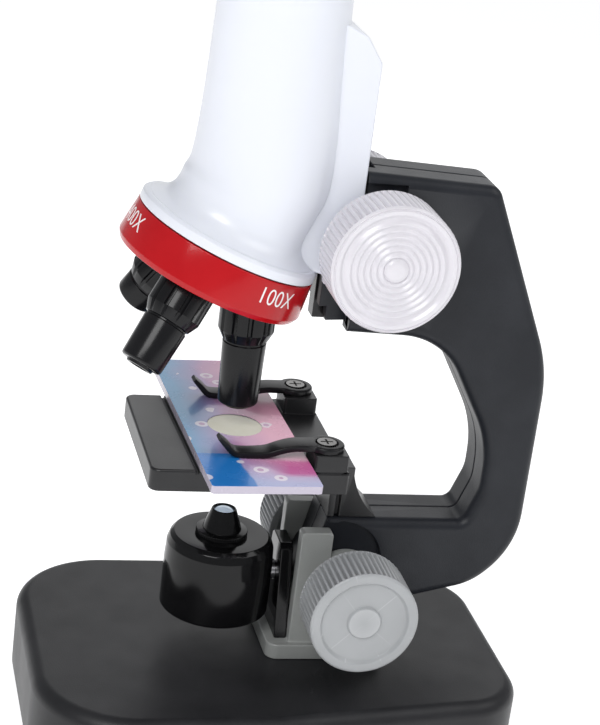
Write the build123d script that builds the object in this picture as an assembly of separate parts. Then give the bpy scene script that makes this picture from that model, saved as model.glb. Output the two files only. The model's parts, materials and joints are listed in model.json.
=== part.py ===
from build123d import *
import os
from math import atan2, cos, hypot, pi, radians, sin, sqrt, tan

# Toy compound microscope. Everything is drawn in millimetres from the optical datum: the optical
# axis is X = 0, Y = 0 and the top of the stage is Z = 0. +X is the user's right, -Y the front and
# +Y the arm side. The finished solids are then moved so that the origin is the middle of the
# footprint at table level.

# ---- overall
TABLE_Z = -75.0                  # the table below the stage top
AXIS_Y = -14.0                   # where the optical axis ends up in the finished frame
RUN = 0.05                       # radial running clearance of every turning fit
GAP = 0.1                        # face gap between pieces that slide or turn past each other
PILOT_R, PASS_R, SHANK_R = 1.1, 1.3, 1.05    # thread hole, clearance hole and shank of the case screws

# ---- base
BASE_TOP_Z = -55.0
BASE_FRONT_Y, BASE_BACK_Y, BASE_WAIST_Y = -46.0, 74.0, 8.0
BASE_FRONT_HALF, BASE_BACK_HALF = 42.5, 33.0
BASE_FRONT_ROUND, BASE_BACK_ROUND, BASE_WAIST_ROUND = 24.0, 16.0, 60.0
BASE_FLOOR_Z = TABLE_Z + 1.0     # the rubber feet lift the shell by this much
BASE_WALL, BASE_EDGE, COVER_T = 2.2, 3.5, 2.0
FOOT_R, FOOT_SINK = 5.0, 0.6
FOOT_XY = ((-32.5, -26), (32.5, -26), (-24, 62), (24, 62))
BASE_SCREW_XY = ((-34, -6), (34, -6), (-28, 48), (28, 48))
BASE_BOSS_R, BASE_HEAD_R = 3.2, 2.8
FORK_SCREW_X, FORK_SCREW_Y = 8.0, 38.0

# ---- batteries and switch
CELL_R, CELL_LENGTH, CELL_NUB_R, CELL_NUB = 7.1, 50.0, 2.6, 1.5
CELL_Y = (-28.6, -14.2)
CELL_Z = BASE_FLOOR_Z + COVER_T + CELL_R + 0.6
DOOR_HALF, DOOR_FRONT_Y, DOOR_BACK_Y = 26.8, -35.0, -2.0
DOOR_SCREW_Y = -4.6
SWITCH_X, SWITCH_Y, SWITCH_Z = 39.6, -20.0, -65.5

# ---- tilt joint of the arm on the base fork
TILT_Y, TILT_Z = 29.9, -34.9
SADDLE_Z, SADDLE_HALF, SADDLE_Y = -51.0, 12.5, (12.0, 42.0)
TONGUE_HALF, TONGUE_R = 7.1, 10.3
CHEEK_IN, CHEEK_OUT, CHEEK_R, CHEEK_TOP_Z = 7.2, 10.8, 8.0, -21.2
CHEEK_FRONT_Y, CHEEK_BACK_Y, CHEEK_FOOT_Y = 17.5, 25.4, 37.5
POCKET_Y, POCKET_Z, POCKET_R = 28.3, -29.6, 10.2     # round recess in the arm's side above the knob
HUB_POCKET_R = 9.0
AXLE_R, AXLE_HALF = 2.5, 22.5
TILT_KNOB_IN, TILT_KNOB_OUT, TILT_KNOB_R = 18.4, 31.0, 13.2
TILT_KNOB_TEETH, TILT_KNOB_WEB, TILT_HUB_R = 60, 5.0, 6.0

# ---- arm
ARM_HALF, ARM_WALL = 8.74, 2.2
ARM_FRONT_Y, LEDGE_Z = 22.4, -18.55
SEAM = 0.3                       # bevel of each shell along the joint line
ARM_ROUND = 2.6
ARM_POSTS = ((49.0, 60.5), (47.0, 36.0), (67.6, -2.0), (66.0, -24.0), (47.0, -31.0))
POST_R = 3.2
TENON_Y, TENON_HALF = (26.5, 35.5), 2.5    # foot of the stage bracket, held between the arm shells

# ---- stage, clips and specimen slide
STAGE_HALF, STAGE_T = 22.4, 5.4
STAGE_FRONT_Y, STAGE_BACK_Y = -23.25, 23.7
STAGE_HOLE_R = 8.0
STAGE_SCREW_X, STAGE_SCREW_Y = 4.0, 19.0
FLANGE_Z, FLANGE_FRONT_Y = -9.0, 15.5      # flange of the bracket, screwed under the stage
BRACKET_HALF, BRACKET_Y, BRACKET_FOOT_Y = 6.9, (24.0, 29.6), 36.5
BRACKET_GROOVE_Y, BRACKET_GROOVE = (25.7, 27.0), 1.6
POST_IN, POST_OUT, POST_Y, POST_TOP = 12.4, 22.0, (15.0, 23.2), 4.2
CLIP_X, CLIP_Y = 17.64, 18.35
CLIP_T, EYE_R, EYE_T = 1.5, 4.3, 1.8
EYE_SEAT, EYE_SEAT_R, CLIP_HEAD_R = 0.9, 2.7, 2.3
CARD_L, CARD_W, CARD_T, CARD_ROUND = 76.0, 26.0, 2.0, 0.8
CARD_X, CARD_Y, CARD_TURN = -3.57, 0.21, 1.9
STAGE_GROOVE, STAGE_GROOVE_DEPTH = 0.9, 0.8          # groove in the stage along the card's front edge
WINDOW_R = 6.6

# ---- turret: a disc whose axis leans back so that one objective at a time stands upright
TURRET_TILT = 21.0
APEX_Z = 67.4
FLANGE_R, FLANGE_TOP, FLANGE_BOTTOM = 22.4, 17.2, 19.7
RING_TOP, RING_TOP_R = 20.0, 22.39
RING_CREASE, RING_CREASE_R = 28.35, 23.3
RING_LIP, RING_LIP_R, RING_BORE_R = 29.7, 22.6, 21.2
DISC_R, DISC_TOP, DOME_R, DOME_WALL = 20.9, 20.9, 32.6, 3.2
PIVOT_R, PIVOT_BOSS_R, PIVOT_POCKET_R = 1.3, 4.6, 3.6
BALL_R, BALL_OUT = 0.85, 13.0
COLLAR_R, COLLAR_RIBS, COLLAR_GROOVE = 6.7, 11, 0.55
COLLAR_CONE, COLLAR_END = 40.6, 43.0
NECK_R, NECK_TOP, LIGHT_R, TIP_HOLE_R = 4.55, 29.0, 3.4, 1.9
# name, turn round the turret, distance of the tip from the apex, radius at the collar and at the tip
OBJECTIVES = (("long", 0.0, 59.3, 5.25, 4.8),
              ("middle", 120.0, 54.4, 5.35, 5.1),
              ("short", -120.0, 48.7, 5.3, 5.1))

# ---- focus drive
FOCUS_Y, FOCUS_Z = 27.25, 50.9
MODULE, PINION_TEETH, PRESSURE = 0.7, 12, 25.0
PITCH_R = MODULE * PINION_TEETH / 2
ADDENDUM, DEDENDUM = 0.75 * MODULE, 0.95 * MODULE
RACK_HALF, RACK_BOTTOM_Z, RACK_TOP_Z = 2.2, 31.2, 58.5
SHAFT_R, SHAFT_HALF = 2.5, 21.0
KNOB_R, KNOB_IN, KNOB_OUT, KNOB_TEETH = 15.2, 11.6, 24.15, 60
KNOB_RINGS, KNOB_RING_R, KNOB_RING_PITCH = 6, 3.4, 1.36
RAIL_FRONT_Y, RAIL_BOTTOM_Z, RAIL_TOP_Z = 15.3, 31.8, 66.0
RAIL_STEP_Y, RAIL_STEP_Z = 17.2, 35.3
WAY_FRONT_Y, WAY_WIDE, WAY_SLIM = 14.9, 6.23, 5.24   # dovetail way in the head
CARRIAGE_BACK_Y, CARRIAGE_BOTTOM_Z, CARRIAGE_TOP_Z = 21.9, 41.6, 100.0

# ---- head tube and eyepiece
TUBE_TOP_Z, TUBE_TOP_R = 116.0, 14.9
BORE_R, BORE_BOTTOM_Z, LIGHT_BORE_R = 12.0, 62.0, 4.2
TRIM_T = 3.2
EYE_TUBE_R, EYE_TUBE_TOP_Z, EYE_BORE_R = 13.4, 141.0, 9.6
EYEPIECE_TOP_Z, EYECUP_R = 149.0, 13.3

# ---- lamp
LAMP_Z = -36.5                   # height of the flip axis
LAMP_R, LAMP_FLAT_R, LAMP_TOP_Z, LAMP_WALL = 13.4, 11.7, -26.6, 2.0
LAMP_BOTTOM_Z = 2 * LAMP_Z - LAMP_TOP_Z
CONE_TOP_Z, CONE_TOP_R, CONE_BASE_R, CONE_FLANGE_R = -19.96, 2.6, 4.9, 6.4
LED_R, LED_Z = 2.4, -21.4
LAMP_PIN_R, LAMP_PIN_HEAD_R = 2.2, 3.4
LAMP_BRACKET_Y, LAMP_TAB_Y = (14.2, 17.3), 24.5
LAMP_SCREW_Y = 21.4

parts = {}


# ---------------------------------------------------------------- drawing helpers
def block(x0, x1, y0, y1, z0, z1):
    """Box between two corners."""
    centre = ((x0 + x1) / 2, (y0 + y1) / 2, (z0 + z1) / 2)
    return Pos(*centre) * Box(x1 - x0, y1 - y0, z1 - z0)


def rod_x(x0, x1, y, z, r):
    """Cylinder along X."""
    return Pos((x0 + x1) / 2, y, z) * Rot(0, 90, 0) * Cylinder(r, x1 - x0)


def rod_y(x, y0, y1, z, r):
    """Cylinder along Y."""
    return Pos(x, (y0 + y1) / 2, z) * Rot(90, 0, 0) * Cylinder(r, y1 - y0)


def rod_z(x, y, z0, z1, r):
    """Cylinder along Z."""
    return Pos(x, y, (z0 + z1) / 2) * Cylinder(r, z1 - z0)


def mirrored(solid):
    """The same piece on the other side of the microscope."""
    return mirror(solid, about=Plane.YZ)


def side_face(face, x0, x1):
    """Sketch drawn as (Y, Z), extruded from x0 to x1."""
    return Plane((x0, 0, 0), x_dir=(0, 1, 0), z_dir=(1, 0, 0)) * extrude(face, x1 - x0)


def side_plate(points, x0, x1):
    """Outline in (Y, Z), extruded from x0 to x1."""
    return side_face(make_face(Polyline(*points, close=True)), x0, x1)


def spun(points, plane=Plane.XY):
    """Profile of (radius, height) points turned about the plane's normal."""
    profile = make_face(Polyline(*[(r, 0, h) for r, h in points], close=True))
    return plane * revolve(profile, Axis.Z)


def serrated(r, teeth, depth):
    """Round face with a fine saw-tooth edge."""
    points = []
    for i in range(teeth):
        for step, radius in ((0.0, r - depth), (0.3, r), (0.7, r)):
            a = 2 * pi * (i + step) / teeth
            points.append((radius * cos(a), radius * sin(a)))
    return make_face(Polyline(*points, close=True))


def screw(x, y, z, head_r, length):
    """Cross-head screw standing upwards, the underside of its head at z."""
    head, slot, half = 1.1, 0.5, 0.35
    body = rod_z(x, y, z - head, z, head_r) + rod_z(x, y, z, z + length, SHANK_R)
    reach = 0.7 * head_r
    low, high = z - head, z - head + slot
    body -= block(x - reach, x + reach, y - half, y + half, low, high)
    return body - block(x - half, x + half, y - reach, y + reach, low, high)


def keep(name, solid):
    """Store a finished piece under its node name."""
    parts[name] = solid


def keep_set(name, solids):
    """Store several loose solids as one node."""
    parts[name] = Compound(children=list(solids))


# ---------------------------------------------------------------- base
def base_outline(inset=0.0):
    """Plan of the base: wide rounded front, narrower back."""
    front, back = BASE_FRONT_HALF - inset, BASE_BACK_HALF - inset
    y0, y1 = BASE_FRONT_Y + inset, BASE_BACK_Y - inset
    corners = ((-front, y0), (front, y0), (front, BASE_WAIST_Y),
               (back, y1), (-back, y1), (-front, BASE_WAIST_Y))
    face = make_face(Polyline(*corners, close=True))
    face = fillet(face.vertices().sort_by(Axis.Y)[0:2], BASE_FRONT_ROUND - inset)
    face = fillet(face.vertices().filter_by(lambda v: v.Y > y1 - 1), BASE_BACK_ROUND - inset)
    return fillet(face.vertices().filter_by(lambda v: abs(v.Y - BASE_WAIST_Y) < 0.5), BASE_WAIST_ROUND)


def base_shell():
    z0, roof = BASE_FLOOR_Z, BASE_TOP_Z - BASE_WALL
    shell = Pos(0, 0, z0) * extrude(base_outline(), BASE_TOP_Z - z0)
    shell = fillet(shell.edges().group_by(Axis.Z)[-1], BASE_EDGE)
    shell -= Pos(0, 0, z0) * extrude(base_outline(BASE_WALL), roof - z0)
    for x, y in BASE_SCREW_XY:
        shell += rod_z(x, y, z0 + COVER_T + GAP, roof, BASE_BOSS_R)
        shell -= rod_z(x, y, z0, roof - 2, PILOT_R)
    for x in (-FORK_SCREW_X, FORK_SCREW_X):
        shell -= rod_z(x, FORK_SCREW_Y, roof, BASE_TOP_Z, 1.6)
    # slot for the power switch in the right flank
    shell -= Pos(BASE_FRONT_HALF - BASE_WALL / 2, SWITCH_Y, SWITCH_Z) * Box(BASE_WALL + 3, 11, 5)
    keep("base_shell", shell)


def base_cover():
    """Floor of the base, with the battery opening, the rib behind the cells and the door's boss."""
    z0, z1 = BASE_FLOOR_Z, BASE_FLOOR_Z + COVER_T
    cover = Pos(0, 0, z0) * extrude(base_outline(BASE_WALL + 0.15), COVER_T)
    cover -= block(-DOOR_HALF, DOOR_HALF, DOOR_FRONT_Y, DOOR_BACK_Y, z0, z1)
    for x, y in BASE_SCREW_XY:
        cover -= rod_z(x, y, z0, z1, 1.6)
        cover -= rod_z(x, y, z0, z0 + 1.2, BASE_HEAD_R + 0.2)
    for x, y in FOOT_XY:
        cover -= rod_z(x, y, z0, z0 + FOOT_SINK, FOOT_R + RUN)
    cover += block(-28, 28, DOOR_BACK_Y + 1.0, DOOR_BACK_Y + 2.5, z1, z0 + 8)
    boss = block(-4, 4, DOOR_SCREW_Y - 2, DOOR_BACK_Y + 2.5, z1, z0 + 6)
    cover += boss - rod_z(0, DOOR_SCREW_Y, z0, z0 + 6, PILOT_R)
    keep("base_cover", cover)


def battery_door():
    z0 = BASE_FLOOR_Z
    door = block(-DOOR_HALF + GAP, DOOR_HALF - GAP, DOOR_FRONT_Y + GAP, DOOR_BACK_Y - GAP, z0, z0 + COVER_T)
    for i in range(5):
        y = DOOR_FRONT_Y + 5 + 2 * i
        door -= block(-8, 8, y, y + 0.9, z0, z0 + 0.7)
    door -= rod_z(0, DOOR_SCREW_Y, z0, z0 + COVER_T, PASS_R)
    door -= rod_z(0, DOOR_SCREW_Y, z0, z0 + 1.1, 2.6)
    keep("battery_door", door)
    keep("battery_door_screw", screw(0, DOOR_SCREW_Y, z0 + 1.1, 2.4, 4.5))


def feet_and_screws():
    z0 = BASE_FLOOR_Z
    feet = [rod_z(x, y, TABLE_Z, z0 + FOOT_SINK, FOOT_R) for x, y in FOOT_XY]
    keep_set("rubber_feet", [fillet(foot.edges().group_by(Axis.Z)[0], 0.6) for foot in feet])
    keep_set("base_screws", [screw(x, y, z0 + 1.2, BASE_HEAD_R, 9.0) for x, y in BASE_SCREW_XY])


def batteries():
    """Two AA cells, head to tail, between two strip contacts."""
    half = CELL_LENGTH / 2
    cell = rod_x(-half, half - CELL_NUB, 0, 0, CELL_R)
    cell = fillet(cell.edges().filter_by(GeomType.CIRCLE), 0.5)
    cell += rod_x(half - CELL_NUB, half, 0, 0, CELL_NUB_R)
    keep_set("battery_cells", [Pos(0, y, CELL_Z) * Rot(0, 0, turn) * cell for y, turn in zip(CELL_Y, (0, 180))])
    y0, y1 = CELL_Y[0] - 5, CELL_Y[1] + 5
    strips = [block(x, x + 0.6, y0, y1, CELL_Z - 4, CELL_Z + 4) for x in (-half - 0.8, half + 0.2)]
    keep_set("battery_contacts", strips)


def power_switch():
    keep("switch_body", Pos(SWITCH_X - 5.0, SWITCH_Y, SWITCH_Z) * Box(5.4, 16, 7))
    slider = Pos(SWITCH_X - 1.2, SWITCH_Y - 2.5, SWITCH_Z) * Box(2.0, 5.6, 4.4)
    slider += Pos(SWITCH_X + 1.2, SWITCH_Y - 2.5, SWITCH_Z) * Box(3.0, 4.4, 4.0)
    keep("switch_slider", slider)


# ---------------------------------------------------------------- tilt fork, axle and knobs
def tilt_fork():
    """Saddle on the base with two cheeks: each an upright ahead of the axle and a foot behind it."""
    saddle = block(-SADDLE_HALF, SADDLE_HALF, *SADDLE_Y, BASE_TOP_Z, SADDLE_Z)
    saddle = fillet(saddle.edges().filter_by(Axis.Z), 3)
    foot_z = SADDLE_Z - 1
    corners = ((CHEEK_FRONT_Y, foot_z), (CHEEK_FRONT_Y, CHEEK_TOP_Z), (CHEEK_BACK_Y, CHEEK_TOP_Z),
               (CHEEK_BACK_Y, TILT_Z), (CHEEK_FOOT_Y, TILT_Z - 3), (CHEEK_FOOT_Y, foot_z))
    outline = make_face(Polyline(*corners, close=True))
    outline += Pos(TILT_Y, TILT_Z) * Circle(CHEEK_R)
    outline = fillet(outline.vertices().filter_by(lambda v: v.Y > CHEEK_TOP_Z - 0.1), 1.0)
    cheek = side_face(outline, CHEEK_IN, CHEEK_OUT)
    fork = saddle + cheek + mirrored(cheek)
    fork -= rod_x(-20, 20, TILT_Y, TILT_Z, AXLE_R + RUN)
    for x in (-FORK_SCREW_X, FORK_SCREW_X):
        fork -= rod_z(x, FORK_SCREW_Y, BASE_TOP_Z, BASE_TOP_Z + 2.6, PILOT_R)
    fork -= rod_z(0, LAMP_SCREW_Y, SADDLE_Z - 3.0, SADDLE_Z, PILOT_R)
    keep("tilt_fork", fork)
    keep_set("fork_screws", [screw(x, FORK_SCREW_Y, BASE_TOP_Z - BASE_WALL, 2.6, BASE_WALL + 2.4)
                             for x in (-FORK_SCREW_X, FORK_SCREW_X)])


def tilt_knob(bore):
    """Ribbed knob, hollow behind a web, with a hub that reaches the fork's cheek."""
    web = TILT_KNOB_OUT - TILT_KNOB_WEB
    rim = extrude(serrated(TILT_KNOB_R, TILT_KNOB_TEETH, 0.5), TILT_KNOB_OUT - TILT_KNOB_IN)
    knob = Pos(TILT_KNOB_IN, TILT_Y, TILT_Z) * Rot(0, 90, 0) * rim
    knob -= rod_x(TILT_KNOB_OUT - 1.0, TILT_KNOB_OUT, TILT_Y, TILT_Z, 10.6)
    knob -= rod_x(TILT_KNOB_IN, web, TILT_Y, TILT_Z, 11.2)
    knob += rod_x(CHEEK_OUT + GAP, web, TILT_Y, TILT_Z, TILT_HUB_R)
    knob += rod_x(TILT_KNOB_OUT - 1.0, TILT_KNOB_OUT - 0.2, TILT_Y, TILT_Z, 4.0)
    return knob - rod_x(CHEEK_OUT, AXLE_HALF + GAP, TILT_Y, TILT_Z, bore)


def tilt_axle_and_knobs():
    keep("tilt_axle", rod_x(-AXLE_HALF, AXLE_HALF, TILT_Y, TILT_Z, AXLE_R))
    keep("tilt_knob_right", tilt_knob(AXLE_R))
    keep("tilt_knob_left", mirrored(tilt_knob(AXLE_R + RUN)))


# ---------------------------------------------------------------- arm
def arm_face(inset=0.0):
    """Side outline of the arm as (Y, Z): a C that leans back, closed at the front by the stage."""
    outline = ((ARM_FRONT_Y, 68.7, 0), (54.5, 67.0, 4), (74.0, 22.0, 40), (74.0, -26.0, 22), (63.5, -36.0, 16),
               (36.0, -43.0, 12), (19.0, -42.0, 6), (BRACKET_Y[0], LEDGE_Z, 0), (58.6, LEDGE_Z, 2.5),
               (61.8, -10.0, 9), (61.8, 2.0, 30), (46.5, 28.8, 18), (ARM_FRONT_Y, 29.6, 0))
    face = make_face(Polyline(*[(y, z) for y, z, _ in outline], close=True))
    for y, z, radius in outline:
        if radius:
            corner = face.vertices().sort_by(lambda v: hypot(v.X - y, v.Y - z))[0]
            face = fillet(corner, radius)
    return offset(face, -inset) if inset else face


def arm_skin():
    """Right half of the arm's outer form, hollow and open on the middle plane."""
    skin = side_face(arm_face(), 0, ARM_HALF)
    skin = chamfer(skin.edges().filter_by(lambda e: abs(e.center().X) < 0.01), SEAM)
    rim = skin.edges().filter_by(lambda e: abs(e.center().X - ARM_HALF) < 0.01)
    rim = rim.filter_by(lambda e: e.center().Y > 46.0 and e.center().Z > -30)
    rim = rim.filter_by(lambda e: e.center().Z > LEDGE_Z + 0.1 or e.center().Y > 60)
    skin = fillet(rim, ARM_ROUND)
    return skin - side_face(arm_face(ARM_WALL), -1, ARM_HALF - ARM_WALL)


def arm_rail():
    """Half of the dovetail rail that the head slides on; its front stops short of its lower end."""
    rail = make_face(Polyline((2.8, RAIL_FRONT_Y), (6.1, RAIL_FRONT_Y), (5.1, ARM_FRONT_Y),
                              (5.1, ARM_FRONT_Y + 2), (2.8, ARM_FRONT_Y + 2), close=True))
    bar = Pos(0, 0, RAIL_BOTTOM_Z) * extrude(rail, RAIL_TOP_Z - RAIL_BOTTOM_Z)
    return bar - block(0, 10, RAIL_FRONT_Y - 1, RAIL_STEP_Y, RAIL_BOTTOM_Z - 1, RAIL_STEP_Z)


def cheek_room():
    """Space in the arm's side for a fork cheek through the whole tilt."""
    room = rod_x(TONGUE_HALF, 20, POCKET_Y, POCKET_Z, POCKET_R)
    room += rod_x(TONGUE_HALF, 20, TILT_Y, TILT_Z, HUB_POCKET_R)
    room += block(TONGUE_HALF, 20, 0, 26.4, -60, -19.6)
    return room + block(TONGUE_HALF, 20, 0, 45.0, -60, TILT_Z)


def arm_half():
    half = arm_skin()
    # recess in the side behind the focus knob, and the wall that backs it
    half += block(4.8, 7.0, ARM_FRONT_Y + 1, 34.0, 38.0, 67.0)
    half -= block(7.0, 20, ARM_FRONT_Y - 1, 32.0, 40.0, 66.3)
    # solid web round the tilt axle and behind the round recess
    web = rod_x(SEAM, TONGUE_HALF, POCKET_Y, POCKET_Z, POCKET_R + 1)
    half += web & side_face(arm_face(SEAM), 0, ARM_HALF)
    half += rod_x(0, TONGUE_HALF, TILT_Y, TILT_Z, TONGUE_R)
    for y, z in ARM_POSTS:
        half += rod_x(0, ARM_HALF - 1, y, z, POST_R)
    # focus shaft bearing
    half += rod_x(3.2, ARM_HALF, FOCUS_Y, FOCUS_Z, 4.6)
    half -= rod_x(0, ARM_HALF, FOCUS_Y, FOCUS_Z, SHAFT_R + RUN)
    half += arm_rail()
    # slots for the rack and for the foot of the stage bracket
    half -= block(-1, 2.7, ARM_FRONT_Y - 1, 25.2, 20, 80)
    half -= block(-1, TENON_HALF + RUN, *TENON_Y, LEDGE_Z - ARM_WALL - 1, LEDGE_Z + 1)
    half -= block(-1, 4.5 + RUN, *TENON_Y, LEDGE_Z - ARM_WALL - 2.3, LEDGE_Z - ARM_WALL)
    half -= cheek_room()
    # below and ahead of the tongue nothing is left but its round end
    half -= block(-1, 20, 0, TILT_Y, -60, TILT_Z) - rod_x(-1, 20, TILT_Y, TILT_Z, TONGUE_R)
    half -= block(-1, 20, 0, 18.2, -60, 0)
    return half - rod_x(-1, 20, TILT_Y, TILT_Z, AXLE_R + RUN)


def arm_shells():
    """Both halves; the screws enter from the left and bite in the right half's posts."""
    right = arm_half()
    left = mirrored(right)
    for y, z in ARM_POSTS:
        right -= rod_x(0, ARM_HALF - 2.5, y, z, PILOT_R)
        left -= rod_x(-ARM_HALF, 0, y, z, 1.5)
        left -= rod_x(-ARM_HALF, -ARM_HALF + 2.4, y, z, 2.5)
    keep("arm_shell_right", right)
    keep("arm_shell_left", left)
    upright = screw(0, 0, 0, 2.4, 11.4)
    keep_set("arm_screws", [Pos(-ARM_HALF + 2.4, y, z) * Rot(0, 90, 0) * upright for y, z in ARM_POSTS])


# ---------------------------------------------------------------- stage
def clip_post():
    """Block on the right back corner of the stage that lifts the clip over the card."""
    post = block(POST_IN, POST_OUT, *POST_Y, -1, POST_TOP)
    return fillet(post.edges().filter_by(Axis.Z), 0.7)


def card_groove():
    """Groove in the stage along the front edge of the card."""
    front = -CARD_W / 2 - STAGE_GROOVE
    groove = block(-40, 40, front, -CARD_W / 2 - GAP, -STAGE_GROOVE_DEPTH, 1)
    return Pos(CARD_X, CARD_Y, 0) * Rot(0, 0, CARD_TURN) * groove


def stage_plate():
    plate = block(-STAGE_HALF, STAGE_HALF, STAGE_FRONT_Y, STAGE_BACK_Y, -STAGE_T, 0)
    upright = plate.edges().filter_by(Axis.Z)
    plate = fillet(upright.filter_by(lambda e: e.center().Y < 0), 2.4)
    plate = fillet(plate.edges().filter_by(Axis.Z).filter_by(lambda e: e.center().Y > 0), 0.8)
    plate = fillet(plate.edges().group_by(Axis.Z)[-1], 0.6)
    plate += clip_post() + mirrored(clip_post())
    plate -= rod_z(0, 0, -STAGE_T, 0, STAGE_HOLE_R) + card_groove()
    # hollow underside
    for y0, y1 in ((-21.0, -10.0), (10.0, 13.0)):
        plate -= block(-20, 20, y0, y1, -STAGE_T, -2.2)
    for side in (1, -1):
        plate -= rod_z(side * CLIP_X, CLIP_Y, -4, POST_TOP, PILOT_R)
        plate -= rod_z(side * STAGE_SCREW_X, STAGE_SCREW_Y, -STAGE_T, -1.5, PILOT_R)
    keep("stage_plate", plate)


def stage_bracket():
    """Bracket under the stage: an upright with a swept back edge, a grooved side, and a foot in the arm."""
    front, back = BRACKET_Y
    swept = ThreePointArc((BRACKET_FOOT_Y, LEDGE_Z), (32.0, -13.4), (back, -7.6))
    outline = Polyline((back, -7.6), (back, -STAGE_T), (FLANGE_FRONT_Y, -STAGE_T), (FLANGE_FRONT_Y, FLANGE_Z),
                       (front, FLANGE_Z), (front, LEDGE_Z), (BRACKET_FOOT_Y, LEDGE_Z))
    bracket = side_face(make_face(outline + swept), -BRACKET_HALF, BRACKET_HALF)
    for x0 in (-BRACKET_HALF, BRACKET_HALF - BRACKET_GROOVE):
        bracket -= block(x0, x0 + BRACKET_GROOVE, *BRACKET_GROOVE_Y, LEDGE_Z, -STAGE_T)
    y0, y1 = TENON_Y[0] + RUN, TENON_Y[1] - RUN
    neck_z = LEDGE_Z - ARM_WALL - RUN
    bracket += block(-TENON_HALF, TENON_HALF, y0, y1, neck_z, LEDGE_Z)
    bracket += block(-4.5, 4.5, y0, y1, LEDGE_Z - ARM_WALL - 2.2, neck_z)
    for x in (-STAGE_SCREW_X, STAGE_SCREW_X):
        bracket -= rod_z(x, STAGE_SCREW_Y, FLANGE_Z, -STAGE_T, PASS_R)
    keep("stage_bracket", bracket)
    keep_set("stage_screws", [screw(x, STAGE_SCREW_Y, FLANGE_Z, 2.1, 7.0)
                              for x in (-STAGE_SCREW_X, STAGE_SCREW_X)])


def clip_blade():
    """Blade over the card, stepping down from the post and turning up at its tip."""
    root, card = POST_TOP + GAP, CARD_T + RUN + GAP
    under = ((0.0, root), (-6.8, root), (-15.5, card), (-22.0, card), (-26.0, card + 3.6))
    over = ((-26.9, card + 4.7), (-22.4, card + CLIP_T), (-15.6, card + CLIP_T), (-6.6, root + CLIP_T),
            (0.0, root + CLIP_T))
    plan = make_face(Polyline((-2.8, 1), (-2.2, -14), (-1.9, -28), (1.9, -28), (2.2, -14), (2.8, 1), close=True))
    return side_plate(under + over, -2.8, 2.8) & extrude(plan, 20)


def clip(side):
    """Moulded stage clip: round eye with a sunk seat for its screw, and the blade."""
    z0 = POST_TOP + GAP
    body = clip_blade() + rod_z(0, 0, z0, z0 + EYE_T, EYE_R)
    body -= rod_z(0, 0, z0 + EYE_SEAT, 20, EYE_SEAT_R)
    body -= rod_z(0, 0, 0, 20, PILOT_R + RUN)
    return Pos(side * CLIP_X, CLIP_Y, 0) * body


def clip_screw(side):
    x, seat = side * CLIP_X, POST_TOP + GAP + EYE_SEAT + RUN
    body = rod_z(x, CLIP_Y, seat, seat + 0.8, CLIP_HEAD_R) + rod_z(x, CLIP_Y, -3.0, seat, PILOT_R)
    body -= block(x - 1.5, x + 1.5, CLIP_Y - 0.25, CLIP_Y + 0.25, seat + 0.4, seat + 1)
    return body - block(x - 0.25, x + 0.25, CLIP_Y - 1.5, CLIP_Y + 1.5, seat + 0.4, seat + 1)


def clips():
    for side, name in ((1, "right"), (-1, "left")):
        keep("clip_" + name, clip(side))
        keep("clip_screw_" + name, clip_screw(side))


def slide():
    """Specimen card with a round clear window."""
    card = Pos(0, 0, CARD_T / 2) * Box(CARD_L, CARD_W, CARD_T)
    card = fillet(card.edges().filter_by(Axis.Z), CARD_ROUND)
    place = Pos(CARD_X, CARD_Y, RUN) * Rot(0, 0, CARD_TURN)
    window = Pos(-CARD_X, -CARD_Y, 0)
    keep("slide_card", place * (card - window * rod_z(0, 0, 0, CARD_T, WINDOW_R)))
    keep("slide_window", place * window * rod_z(0, 0, 0.4, CARD_T - 0.2, WINDOW_R))


# ---------------------------------------------------------------- head
def turret_plane(along=0.0):
    """Frame of the turret: its Z runs down the turret's axis from the apex."""
    t = radians(TURRET_TILT)
    down = Vector(0, -sin(t), -cos(t))
    return Plane(Vector(0, 0, APEX_Z) + down * along, x_dir=(1, 0, 0), z_dir=down)


def tube_section(y, z, lean, r):
    """Circle of radius r, leaning forwards by that many degrees."""
    t = radians(lean)
    return Plane((0, y, z), x_dir=(1, 0, 0), z_dir=(0, sin(t), cos(t))) * Circle(r)


def axis_section(along, lean, r):
    """The same, centred on the turret's axis at that distance from the apex."""
    t = radians(TURRET_TILT)
    return tube_section(-along * sin(t), APEX_Z - along * cos(t), lean, r)


def head_outside():
    """Tube that flares and leans into the turret's flange, with the carriage on the arm side."""
    top = tube_section(0, 88, 0, 15.7)
    skirt = axis_section(12.5, TURRET_TILT, 20.0)
    lip = axis_section(15.6, TURRET_TILT, 20.5)
    body = loft([tube_section(0, TUBE_TOP_Z, 0, TUBE_TOP_R), top])
    body += loft([top, tube_section(-1.5, 73, 5, 17.1), axis_section(5.5, 13, 18.8), skirt])
    body += loft([skirt, lip]) + loft([lip, axis_section(FLANGE_TOP, TURRET_TILT, FLANGE_R - 0.4)])
    thick = FLANGE_BOTTOM - FLANGE_TOP
    body += turret_plane(FLANGE_TOP) * Pos(0, 0, thick / 2) * Cylinder(FLANGE_R, thick)
    carriage = ((4.0, 46.5), (WAY_FRONT_Y, CARRIAGE_BOTTOM_Z + 2.2), (WAY_FRONT_Y, CARRIAGE_BOTTOM_Z),
                (CARRIAGE_BACK_Y, CARRIAGE_BOTTOM_Z), (CARRIAGE_BACK_Y, CARRIAGE_TOP_Z - 6),
                (CARRIAGE_BACK_Y - 4, CARRIAGE_TOP_Z), (4.0, CARRIAGE_TOP_Z + 6))
    return body + side_plate(carriage, -ARM_HALF, ARM_HALF)


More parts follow.
